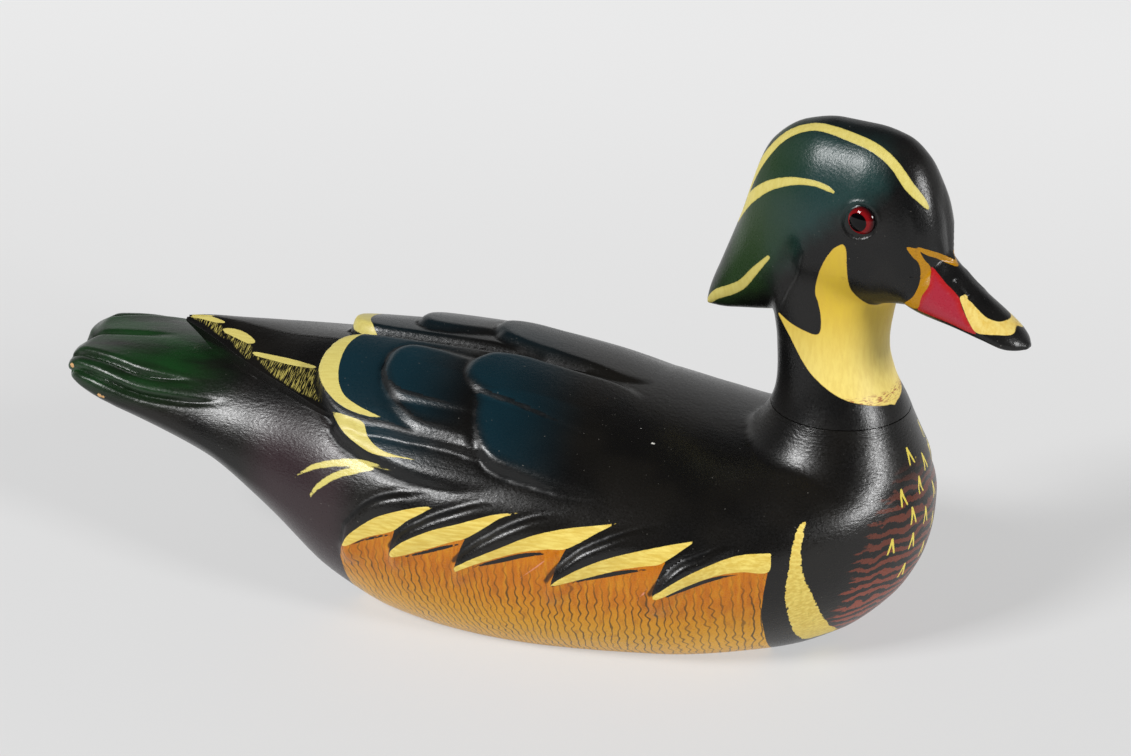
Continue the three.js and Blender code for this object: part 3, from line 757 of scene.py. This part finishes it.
def breast_coat(wire, place, height, fine, broad):
    """Where the chestnut of the breast shows, in broken bars, and its colour."""
    bars = wire.node("TexWave", {"wave_type": "BANDS", "bands_direction": "Z"},
                     {"Vector": place, "Scale": 80.0, "Distortion": 6.5, "Detail": 4.0, "Detail Scale": 1.4})
    bars = (bars + (fine - 0.5) * 0.7).step(0.4, 0.62)
    ragged = (grain(place, 3.2, (3, 3, 0.4)) - 0.5) * 16 + (fine - 0.5) * 3
    chestnut = (kept(wire, "breast") + ragged).step(-1, 1.5) * height.step(72, 55) * bars
    return chestnut * (0.6 + 0.5 * broad), height.step(50, 15).between(paint(102, 48, 32), paint(146, 66, 44))


TAN_LINE_SPACING = 2.7
TAN_LINE_WAVE = 4.7


def tan_coat(place, along, height):
    """Streaked tan, yellower towards the base, with fine dark lines that wave and lean back low down."""
    colour = height.step(34, 4).between(paint(188, 107, 5), paint(230, 172, 20))
    streak = grain(place, 1.6, (1, 1, 5))
    colour = colour.over(streak.step(0.42, 0.75) * 0.45, paint(212, 152, 28))
    colour = colour.over(streak.step(0.5, 0.25) * 0.4, paint(146, 80, 20))
    drop = (38 - height).math("MAXIMUM", 0.0)
    lean = drop * drop * along.step(60, -45) * 0.0095
    drift = grain(place, 22, (1, 1, 3), detail=1)
    wave = (height * (math.tau / TAN_LINE_WAVE) + drift * 22).math("SINE")
    wave = wave * grain(place, 13).step(0.25, 0.7) * 0.5 + (grain(place, 4, detail=1) - 0.5) * 2
    saw = ((along - lean + wave + drift * 9) * (1 / TAN_LINE_SPACING)).math("FRACT")
    line = 1 - abs(saw - 0.5).step(0.05, 0.14)
    strength = height.step(44, 26) * 0.75 + grain(place, 9, (1, 1, 1.6)).step(0.4, 0.65) * 0.35
    return colour.over(line * strength * 0.85, paint(64, 50, 14))


def cream_coat(wire, place, height, wobble, brush):
    """Where the cream bands show, drier at the shoulder crescent, and their brushed colour."""
    dry = kept(wire, "crescent").step(-1, 0.4)
    edge = wobble * 0.5 + (grain(place, 1.4, detail=4) - 0.5) * 3 * dry
    colour = brush.step(0.35, 0.7).between(paint(214, 184, 80), paint(234, 212, 112))
    # Up on the wings the same cream is painted paler and greyer, as painted cooler light
    colour = colour.over(height.step(62, 70) * 0.6, paint(200, 194, 118))
    mottled = grain(place, 1.1, (1, 1, 2)).step(0.56, 0.7) * kept(wire, "crescent").step(1.2, 3) * 0.5
    return (kept(wire, "cream") + edge).step(-0.1, 0.1), colour.over(mottled * dry, paint(176, 158, 56))


def breast_ticks(wire):
    """Where the two legs of each upside-down V show."""
    down = kept(wire, "tick_down")
    spread = abs(kept(wire, "tick_across")) - down * 0.26
    stroke = (0.54 - down * 0.03 - abs(spread)).step(-0.08, 0.1)
    return stroke * down.step(-0.9, -0.4) * down.step(5.8, 5.2) * kept(wire, "tick_near").step(0.1, 0.5)


def body_paint():
    material, wire, shader, place = new_paint("body_paint", 0.3)
    shader.inputs["Specular IOR Level"].default_value = 0.42
    along, _, height = millimetres(place)
    wobble = (grain(place, 2.2) - 0.5) * 0.5
    fine = grain(place, 0.7, detail=2)
    broad = grain(place, 30, detail=2)
    colour = dark_coat(wire, place, along, height, broad)
    colour = colour.over(*breast_coat(wire, place, height, fine, broad))
    tan = (kept(wire, "tan") + wobble * 0.5).step(-0.1, 0.1)
    colour = colour.over(tan, tan_coat(place, along, height))
    colour = colour.over((kept(wire, "shadow_line") + wobble * 0.6).step(-0.1, 0.1), paint(24, 22, 20))

    # Hatched cream hairlines of the flight feathers, then the brushed bands, strokes and ticks
    hatching = (kept(wire, "hatching") + wobble * 2).step(-0.3, 0.6)
    hair = grain(place, 0.34, (1, 12, 12), (0, 0, 0.5), detail=1)
    colour = colour.over(hatching * hair.step(0.47, 0.64) * 0.85, paint(190, 176, 92))
    brush = grain(place, 0.9, (9, 1, 1), (0, -0.35, 0), detail=4)
    cream, cream_colour = cream_coat(wire, place, height, wobble, brush)
    colour = colour.over(cream, cream_colour)
    pale = (kept(wire, "rump_cream") + (brush - 0.5) * 0.8).step(-0.15, 0.25)
    colour = colour.over(pale * 0.95, paint(216, 202, 112))
    colour = colour.over(breast_ticks(wire), paint(226, 206, 84))

    # Painted shade in the carved creases, a few specks and scratches, bare wood where the tail is chipped,
    # and dust
    crease_shade = kept(wire, "crease").step(1.15, 0.45) * (1 - cream) * (1 - pale)
    colour = colour.over(crease_shade * 0.85, paint(6, 6, 6))
    specks = (kept(wire, "specks") + (fine - 0.5) * 0.3).step(-0.1, 0.15)
    colour = colour.over(specks * 0.8, tan.between(paint(236, 234, 226), paint(214, 140, 116)))
    bare = (kept(wire, "scuffs") + (fine - 0.5) * 0.72).step(-0.1, 0.2)
    colour = colour.over(bare, paint(206, 160, 104))
    dust = grain(place, 0.9, detail=0).step(0.85, 0.88) * 0.3
    colour = colour.over(dust * (1 - cream) * (1 - tan), paint(150, 146, 138))

    gloss = 0.3 + (broad - 0.5) * 0.12 + (fine - 0.5) * 0.26 + cream * 0.12 + crease_shade * 0.1
    skin = grain(place, 0.8, (2, 2, 0.8)) * 0.14 + grain(place, 2.4, (2.5, 2.5, 1)) * 0.1
    connect(shader, colour, gloss, skin + cream * 0.03 + bare * -0.15)
    return material


body.data.materials.clear()
body.data.materials.append(body_paint())
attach(body, "root")
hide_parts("body")

# The head is a second block of wood: crested skull, neck and bill in one, turned a little
# to the bird's right. It is glued on the neck stump, and a fine open seam shows there.
HEAD_TURN = math.radians(-20)
HEAD_PIVOT = 108
CROWN = [[-49, 109], [-47, 117], [-42, 129], [-34, 148.5], [-24, 175], [-12, 183.5], [0, 186], [13, 186],
         [24, 184.4], [32, 179.5], [38, 170.6], [41.5, 159], [42.8, 150], [44, 143]]
JAW = [[-49, 108], [-42, 108.5], [-34, 110], [-24, 112], [-10, 116], [10, 121], [26, 126], [36, 127],
       [41, 132], [44, 141]]
HEAD_HALF_WIDTH = [[-49, 2], [-47, 4], [-42, 7], [-32, 11], [-16, 16.5], [0, 19], [14, 19], [26, 16.5],
                   [35, 12.8], [41, 8], [44, 2.5]]
HEAD_WAIST = 0.42
HEAD_FULLNESS = {"above": 2.1, "below": 2.1}
BILL_RIDGE = [[28, 148], [41, 148.5], [46, 144.5], [54, 138], [64, 131.3], [71, 126.5], [75, 122.2]]
BILL_UNDER = [[28, 129], [34, 126.5], [41, 125], [46, 124.3], [62, 121.6], [70, 120], [75, 120.4]]
BILL_HALF_WIDTH = [[28, 9], [41, 11.2], [52, 10], [60, 9.6], [67, 8.6], [72, 5.8], [75, 1.6]]
BILL_WAIST = 0.3
BILL_FULLNESS = {"above": 1.75, "below": 2.4}
CHEEK_HOLLOW = {"place": (-10.5, 20.5, 131), "radius": (5, 6.5, 19), "lean": 0.3}
HEAD_GRAIN = 0.57
THROAT_FOOT = 80


def turned(at):
    """Points of the head's own frame (forward, left, up) in the duck's frame."""
    forward, across, height = np.moveaxis(at, -1, 0)
    return np.stack([forward * math.cos(HEAD_TURN) - across * math.sin(HEAD_TURN) + HEAD_PIVOT,
                     forward * math.sin(HEAD_TURN) + across * math.cos(HEAD_TURN), height], -1)


def lofted(name, over, under, half_width, waist, fullness):
    """Closed form between an upper and a lower profile, with round sections."""
    rows, spokes = 90, 128
    low, high = over[0][0], over[-1][0]
    piece, ring, spoke = ball(name, spokes, rows + 1)
    x = (low + high) / 2 - (high - low) / 2 * np.cos(np.linspace(0, np.pi, rows))[:, None]
    turn = (math.pi / 2 - np.arange(spokes) / spokes * math.tau)[None]
    up = np.cos(turn)
    widest = curve(under, x) + waist * (curve(over, x) - curve(under, x))
    full = np.where(up >= 0, fullness["above"], fullness["below"])
    height = np.where(up >= 0, curve(over, x) - widest, widest - curve(under, x))
    walls = np.stack([np.broadcast_to(x, (rows, spokes)), curve(half_width, x) * bulge(np.sin(turn), full),
                      widest + height * bulge(up, full)], -1)
    pull(piece, ring, spoke, turned(walls))
    return piece


def cheek_hollow(side):
    piece, _, _ = ball("hollow", 48, 24)
    forward, across, height = (mesh_corners(piece) * CHEEK_HOLLOW["radius"]).T
    places = np.stack([forward + CHEEK_HOLLOW["lean"] * height, across, height], -1)
    set_corners(piece, turned(places + np.array(CHEEK_HOLLOW["place"]) * [1, side, 1]))
    return piece


head = lofted("head_carving", CROWN, JAW, HEAD_HALF_WIDTH, HEAD_WAIST, HEAD_FULLNESS)
join(head, neck("throat", THROAT_FOOT, NECK_TOP))
join(head, lofted("bill", BILL_RIDGE, BILL_UNDER, BILL_HALF_WIDTH, BILL_WAIST, BILL_FULLNESS))
for side in (-1, 1):
    join(head, cheek_hollow(side), "DIFFERENCE")
finish_with(head, "REMESH", mode="VOXEL", voxel_size=HEAD_GRAIN * MM)
finish_with(head, "SMOOTH", factor=0.5, iterations=6)

# The hollow behind the cheek is sanded soft. The forehead ends in a low ledge over the bill,
# the nostrils are small slits, and a low rim and a groove run round each eye.
BROW_EDGE = [[36.5, 12.5], [37.8, 10.8], [40.1, 8.7], [42.6, 4.5], [45.9, 0.7], [46.3, 0]]
BROW_LEDGE = {"height": 0.8, "slope": 6}
NOSTRIL = [[49, 4.6, 139.6, 0], [53.6, 5.4, 136.2, 0]]
NOSTRIL_RIM = {"height": 0.5, "width": 1.9}
NOSTRIL_SLIT = {"height": 1.1, "width": 0.8}
CHEEK_CREASE = [[-1.5, 145], [-3.2, 141], [-5.6, 134], [-9.4, 127], [-13, 118]]
CHEEK_SANDING = {"across": 16, "height": 130, "radius": (10, 12, 24), "strokes": 130}
JAW_SANDING = {"back": -14, "front": 23, "height": 121, "reach": 17, "strokes": 420}
EYE_RIM = {"height": 0.4, "width": 0.8}
EYE_GROOVE = {"height": 0.5, "width": 0.5}
EYE = {"forward": 19, "across": 15.8, "height": 158.6, "radius": 5.4, "dome": 3.6}


def head_corners():
    """The head's corners in its own frame: forward, distance from its middle, and height."""
    x, y, z = corners(head).T
    forward = (x - HEAD_PIVOT) * math.cos(HEAD_TURN) + y * math.sin(HEAD_TURN)
    return forward, np.abs(y * math.cos(HEAD_TURN) - (x - HEAD_PIVOT) * math.sin(HEAD_TURN)), z


forward, across, height = head_corners()
up = height - CHEEK_SANDING["height"]
gaps = np.stack([forward - CHEEK_HOLLOW["place"][0] - CHEEK_HOLLOW["lean"] * up,
                 across - CHEEK_SANDING["across"], up], -1) / CHEEK_SANDING["radius"]
sand(head, smooth_share((1.3 - np.linalg.norm(gaps, axis=-1)) * 3), CHEEK_SANDING["strokes"])
forward, _, height = head_corners()
jaw = smooth_share((JAW_SANDING["reach"] - np.abs(height - JAW_SANDING["height"])) / 7)
jaw = jaw * smooth_share((JAW_SANDING["front"] - forward) / 8)
sand(head, jaw * smooth_share((forward - JAW_SANDING["back"]) / 6), JAW_SANDING["strokes"])

forward, across, height = head_corners()
places = np.stack([forward, across, height], -1)
edge = spline(BROW_EDGE)
behind = np.interp(across, edge[::-1, 1], edge[::-1, 0], right=36) - forward
ledge = np.where(behind > 0, np.clip(behind / 0.6, 0, 1) * smooth_share(1 - behind / BROW_LEDGE["slope"]), 0)
relief = BROW_LEDGE["height"] * ledge * (height > 141) * (forward > 30) * smooth_share((13 - across) / 2)
gap = strokes_inside([NOSTRIL], places)
relief += bump(gap, **NOSTRIL_RIM) - bump(gap, **NOSTRIL_SLIT)
gap = np.hypot(forward - EYE["forward"], height - EYE["height"]) - EYE["radius"]
relief += (across > 10) * (bump(gap - 0.9, **EYE_RIM) - bump(gap - 0.1, **EYE_GROOVE))
gap = line_distance(spline(CHEEK_CREASE), forward, height, 8)
share = smooth_share((146 - height) / 5) * smooth_share((height - 117) / 8)
relief -= bump(gap, **CREASE) * share * (across > 8)
normals = np.empty(len(forward) * 3)
head.data.vertices.foreach_get("normal", normals)
set_corners(head, corners(head) + normals.reshape(-1, 3) * relief[:, None])
plane_flat(head, SEAM_HEIGHT + SEAM_GAP)

# The head is green over black, with cream stripes, a yellow throat and a red, black and cream bill.
# Strokes and marks are [forward, across, height, half width] in the head's own frame. Outlines are
# [forward, height], apart from the throat's, which is measured round the neck.
HEAD_STRIPES = [
    [[-29.6, 7.3, 154, 1.2], [-27.5, 7.5, 161, 2.2], [-24, 8, 168.6, 2.1], [-16.5, 6.7, 178, 1.9],
     [-8, 5.8, 182.6, 1.8], [0, 6.4, 183.7, 1.7], [9, 7.6, 183.2, 1.8], [19.5, 8.8, 181.2, 1.7],
     [26.6, 9.5, 177.4, 1.6], [32.4, 9.6, 171.3, 1.7], [36.6, 8, 166.6, 1.3], [38.9, 6.4, 162.4, 0.5]],
    [[-34, 6, 144.5, 1.2], [-28.5, 9.2, 152.8, 2.4], [-19, 13.4, 161.6, 1.9], [-9, 15.4, 166.2, 1.4],
     [0, 16.2, 167.7, 1], [5.5, 16.5, 167.2, 0.9], [8.4, 16.8, 166.4, 0.5]],
    [[-47.8, 2.8, 109.3, 1], [-42, 6, 114.8, 1.8], [-34.5, 9.4, 119.2, 1.9], [-29, 11, 123.2, 1.7],
     [-22.5, 14, 130.5, 1.4], [-16, 16.3, 137.6, 0.7]],
]
THROAT = [[-6, 88.1], [1.8, 88.4], [10.1, 90.3], [16.1, 92.3], [21.8, 95.4], [29.8, 101.2], [38.5, 110.5],
          [45.1, 117.3], [38.6, 115.9], [33.1, 114.7], [27.6, 114], [26, 116], [26.2, 120.4], [27.4, 125],
          [29, 130], [26.4, 138.6], [22.9, 145.9], [20.2, 149.2], [18.9, 149.6], [18.2, 147.6], [17.8, 142.7],
          [17.1, 136.8], [15.2, 131.8], [10.1, 127], [5.2, 125.2], [-6, 124.6]]
THROAT_AXIS = 2
THROAT_ROUND = 19
CHIN_END = 33
BILL_START = 30
BILL_MARGIN = [[34.4, 151.4], [36.4, 148.4], [38.1, 145.9], [38.7, 142.7], [38.5, 139.3], [37.8, 136.2],
               [36.3, 133.1], [32.6, 129.4], [38.6, 129.8], [40, 134.7], [41.8, 138.3], [41.5, 141.6],
               [40.9, 144.7], [39.6, 146.9], [38.4, 149.5], [38, 151]]
BILL_RED = [[38.4, 129.2], [40, 134.7], [41.9, 138.3], [41.6, 141.6], [41, 144.6], [43.5, 142.4],
            [46.7, 139.5], [50, 137.2], [52, 135.5], [53.8, 132.5], [56.5, 129.2], [60.4, 125.2], [56, 125.6],
            [46.7, 127.8]]
BILL_CREAM = [[52, 135.6], [53, 136.2], [55.4, 134.6], [57.5, 133.1], [61.5, 130.6], [65, 129.4],
              [67.6, 129.2], [69.8, 127.4], [70.2, 125.9], [65.9, 126], [61, 125.8], [59, 126.6],
              [56.5, 129.4], [54.2, 132.4]]
BROW_LINE = [[37.6, 11, 151.1, 0.5], [40.1, 8.7, 149.5, 0.9], [42.6, 4.5, 147.3, 1], [45.9, 0.7, 144.5, 1.1],
             [46.3, 0, 144.2, 1.1]]
HEAD_GREEN = [[-47, 111], [-40, 125], [-34, 146], [-26, 172], [-12, 184], [6, 185], [20, 182], [27, 172],
              [20, 163], [6, 153], [-4, 143], [-12, 133], [-24, 121], [-38, 112]]
THROAT_MARKS = [[6, 17.5, 124, 1.6], [13.4, 17, 136.5, 1.1], [14, 14.6, 107.5, 1.4], [11, 15.6, 128, 1]]


forward, across, height = head_corners()
places = np.stack([forward, across, height], -1)
around = np.arctan2(across, forward - THROAT_AXIS) * THROAT_ROUND
on_neck = np.where(forward < CHIN_END, 0, -2 * FAR)
on_bill = np.where(forward > BILL_START, 0, -2 * FAR)
layer(head, "stripes", strokes_inside(HEAD_STRIPES, places))
layer(head, "throat", areas_inside([spline(THROAT, closed=True)], around, height) + on_neck)
layer(head, "margin", areas_inside([spline(BILL_MARGIN, 3, closed=True)], forward, height) + on_bill)
layer(head, "red", areas_inside([BILL_RED], forward, height) + on_bill)
layer(head, "bill_cream", areas_inside([spline(BILL_CREAM, closed=True)], forward, height) + on_bill)
layer(head, "brow_line", strokes_inside([BROW_LINE], places))
layer(head, "green", inside_distance(spline(HEAD_GREEN, closed=True), forward, height))
layer(head, "marks", spots_inside(THROAT_MARKS, places))


def head_place(place):
    """A place in the head's own frame, which is turned with it."""
    return place.node("Mapping", {"vector_type": "TEXTURE"},
                      {"Vector": place, "Location": ((HEAD_PIVOT + SHIFT) * MM, 0, 0),
                       "Rotation": (0, 0, HEAD_TURN)})


def green_coat(wire, place, forward, height, broad):
    """Green over black, bluer towards the face, with a black crown."""
    black = broad.step(0.35, 0.65).between(paint(13, 13, 13), paint(22, 21, 20))
    green = (kept(wire, "green") + (grain(place, 9) - 0.5) * 8).step(-5, 7)
    teal = (forward + (broad - 0.5) * 20).step(-26, 4)
    colour = black.over(green * 0.85, teal.between(paint(38, 62, 30), paint(26, 58, 56)))
    return colour.over(height.step(181, 186) * 0.7, paint(18, 18, 19))


def throat_coat(wire, place, forward, height, fine, brush):
    """Yellow with a fine darker rim, a few dirty marks and a red-brown rub at its foot."""
    colour = height.step(128, 96).between(paint(212, 180, 54), paint(236, 214, 120))
    colour = colour.over(brush.step(0.65, 0.35) * 0.25, paint(204, 166, 66))
    colour = colour.over(kept(wire, "throat").step(0.4, 0.05) * 0.45, paint(188, 150, 62))
    dirt = (kept(wire, "marks") + (fine - 0.5) * 4).step(-0.8, 1.6) * grain(place, 1.2).step(0.45, 0.7)
    colour = colour.over(dirt * 0.55, paint(140, 92, 40))
    rub = height.step(88.5, 90.5) * height.step(93.5, 91.5) * grain(place, 1, (2, 2, 0.4)).step(0.5, 0.6)
    return colour.over(rub * 0.8 * forward.step(12, 16), paint(150, 52, 26))


def head_paint():
    material, wire, shader, place = new_paint("head_paint", 0.36)
    shader.inputs["Specular IOR Level"].default_value = 0.34
    forward, _, height = millimetres(head_place(place))
    wobble = (grain(place, 2) - 0.5) * 0.5
    fine = grain(place, 0.7, detail=2)
    broad = grain(place, 22, detail=2)
    brush = grain(place, 0.9, (1.5, 1.5, 7), detail=4)
    colour = green_coat(wire, place, forward, height, broad)
    throat = (kept(wire, "throat") + wobble * 0.6).step(-0.1, 0.1)
    colour = colour.over(throat, throat_coat(wire, place, forward, height, fine, brush))
    stripe = (kept(wire, "stripes") + wobble * 0.5 + (brush - 0.5) * 0.2).step(-0.12, 0.12)
    pale = brush.step(0.25, 0.75).between(paint(204, 188, 98), paint(214, 200, 114))
    pale = pale.over(kept(wire, "stripes").step(0.7, 0.1) * 0.3, paint(170, 160, 70))
    colour = colour.over(stripe, pale)

    # Bill: red sides, an orange margin and a cream patch before the black nail
    red = (kept(wire, "red") + wobble * 0.4).step(-0.1, 0.1)
    crimson = kept(wire, "red").step(2.2, 0.2).between(paint(160, 40, 56), paint(168, 28, 30))
    colour = colour.over(red, crimson.over(grain(place, 1.4).step(0.6, 0.8) * 0.25, paint(196, 96, 102)))
    margin = (kept(wire, "margin") + wobble * 0.4).step(-0.1, 0.1)
    brow = (kept(wire, "brow_line") + wobble * 0.4).step(-0.1, 0.1)
    colour = colour.over(margin.math("MAXIMUM", brow), paint(174, 122, 8))
    patch = (kept(wire, "bill_cream") + wobble * 0.4).step(-0.1, 0.1)
    colour = colour.over(patch, brush.step(0.2, 0.7).between(paint(214, 180, 84), paint(228, 204, 118)))

    cream = stripe.math("MAXIMUM", throat)
    dust = grain(place, 0.8, detail=0).step(0.86, 0.89) * 0.3
    colour = colour.over(dust * (1 - cream), paint(150, 146, 138))
    gloss = 0.3 + (broad - 0.5) * 0.12 + (fine - 0.5) * 0.24 + cream * 0.14
    skin = grain(place, 0.75, (1, 1, 1.4)) * 0.11 + grain(place, 2, (1, 1, 3)) * 0.08
    connect(shader, colour, gloss, skin + cream * 0.04)
    return material


head.data.materials.clear()
head.data.materials.append(head_paint())
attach(head, "root")
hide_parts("head")

# The eyes are low glass domes, pressed into seats drilled in the head,
# with a dark red iris and a black pupil under the glass.


def glass_eye(side, name):
    piece, _, _ = ball(name, 64, 48)
    at = mesh_corners(piece) * [EYE["radius"], EYE["dome"], EYE["radius"]]
    set_corners(piece, turned(at + [EYE["forward"], side * EYE["across"], EYE["height"]]))
    return piece


def eye_paint():
    material, wire, shader, place = new_paint("eye_glass", 0.06)
    shader.inputs["Specular IOR Level"].default_value = 0.22
    centre = (-EYE["forward"] * MM, 0, -EYE["height"] * MM)
    flat = wire.node("VectorMath", {"operation": "MULTIPLY_ADD"},
                     {0: head_place(place), 1: (1, 0, 1), 2: centre})
    radius = wire.node("VectorMath", {"operation": "LENGTH"}, {0: flat}, 1) * (1 / (EYE["radius"] * MM))
    fibres = grain(place, 0.5, detail=2)
    iris = (radius + (fibres - 0.5) * 0.15).step(0.68, 0.92).between(paint(124, 16, 20), paint(60, 7, 9))
    colour = iris.over(1 - radius.step(0.57, 0.62), paint(4, 3, 4))
    connect(shader, colour.over(radius.step(0.9, 0.96), paint(16, 10, 12)))
    return material


eye_right = glass_eye(-1, "glass_eye_right")
eye_left = glass_eye(1, "glass_eye_left")
eye_glass = eye_paint()
for eye, node in ((eye_right, "eye_right"), (eye_left, "eye_left")):
    eye.data.materials.append(eye_glass)
    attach(eye, "root")
    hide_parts(node)

SHARP_EDGE = math.radians(50)
for piece in (body, head, eye_right, eye_left):
    pick(piece)
    bpy.ops.object.shade_smooth_by_angle(angle=SHARP_EDGE)

# The floor is a wide sheet of pale matt paper that the decoy stands on.
# It glows a little, more so far behind, as paper does under the lamps of a studio.
FLOOR_WIDTH = 8
FLOOR_DROP = 0.0002
bpy.ops.mesh.primitive_plane_add(size=FLOOR_WIDTH, location=(0, 0, -FLOOR_DROP))
floor = bpy.context.object
floor.name = "floor"


def grey(value):
    return (value, value, value, 1)


def pale_paper():
    material, wire, shader, place = new_paint("pale_paper", 0.95)
    shader.inputs["Base Color"].default_value = grey(0.3)
    _, away, _ = place.parts()
    glow = away.step(-0.15, 0.85).between(grey(0.43), grey(0.62))
    wire.tree.links.new(glow.socket, shader.inputs["Emission Color"])
    shader.inputs["Emission Strength"].default_value = 1
    return material


floor.data.materials.append(pale_paper())

# The camera stands to the decoy's right, a little ahead of it, and looks down on it.
# Angles are in degrees and run from the decoy's right side towards its bill.
CAMERA = {"azimuth": 15, "elevation": 24, "distance": 950, "target": (13.5, 0, 80), "focal": 2650}
PICTURE_WIDTH = 1131
target = Vector(CAMERA["target"]) + Vector((SHIFT, 0, 0))


def towards(azimuth, elevation):
    azimuth, elevation = math.radians(azimuth), math.radians(elevation)
    return Vector((math.sin(azimuth) * math.cos(elevation), -math.cos(azimuth) * math.cos(elevation),
                   math.sin(elevation)))


def look_back(thing, direction):
    thing.rotation_euler = (-direction).to_track_quat("-Z", "Y").to_euler()


away = towards(CAMERA["azimuth"], CAMERA["elevation"])
bpy.ops.object.camera_add(location=(target + away * CAMERA["distance"]) * MM)
camera = bpy.context.object
look_back(camera, away)
camera.data.sensor_width = 36
camera.data.lens = CAMERA["focal"] / PICTURE_WIDTH * camera.data.sensor_width
bpy.context.scene.camera = camera
bpy.context.scene.view_settings.view_transform = "Standard"

# A pale backdrop glows behind the decoy, the room in front of it is dim, and two soft boxes
# stand 3 m from it.
LIGHT_DISTANCE = 3
world = bpy.data.worlds.new("studio")
world.use_nodes = True
sky = Wire(world.node_tree)
_, back, up = sky.node("TexCoord", output=0).parts()
behind = back.step(-0.35, 0.75) * up.step(0.65, 0.35)
glow = behind.between((0.035, 0.036, 0.04, 1), grey(0.5))
sky.tree.links.new(glow.socket, sky.tree.nodes["Background"].inputs["Color"])
bpy.context.scene.world = world


def soft_box(name, azimuth, elevation, size, power):
    direction = towards(azimuth, elevation)
    bpy.ops.object.light_add(type="AREA", location=target * MM + direction * LIGHT_DISTANCE)
    light = bpy.context.object
    light.name = name
    look_back(light, direction)
    light.data.shape = "RECTANGLE"
    light.data.size, light.data.size_y = size
    light.data.energy = power


soft_box("left_soft_box", -46, 38, (0.9, 0.75), 84)
soft_box("right_soft_box", 68, 22, (0.6, 0.6), 58)
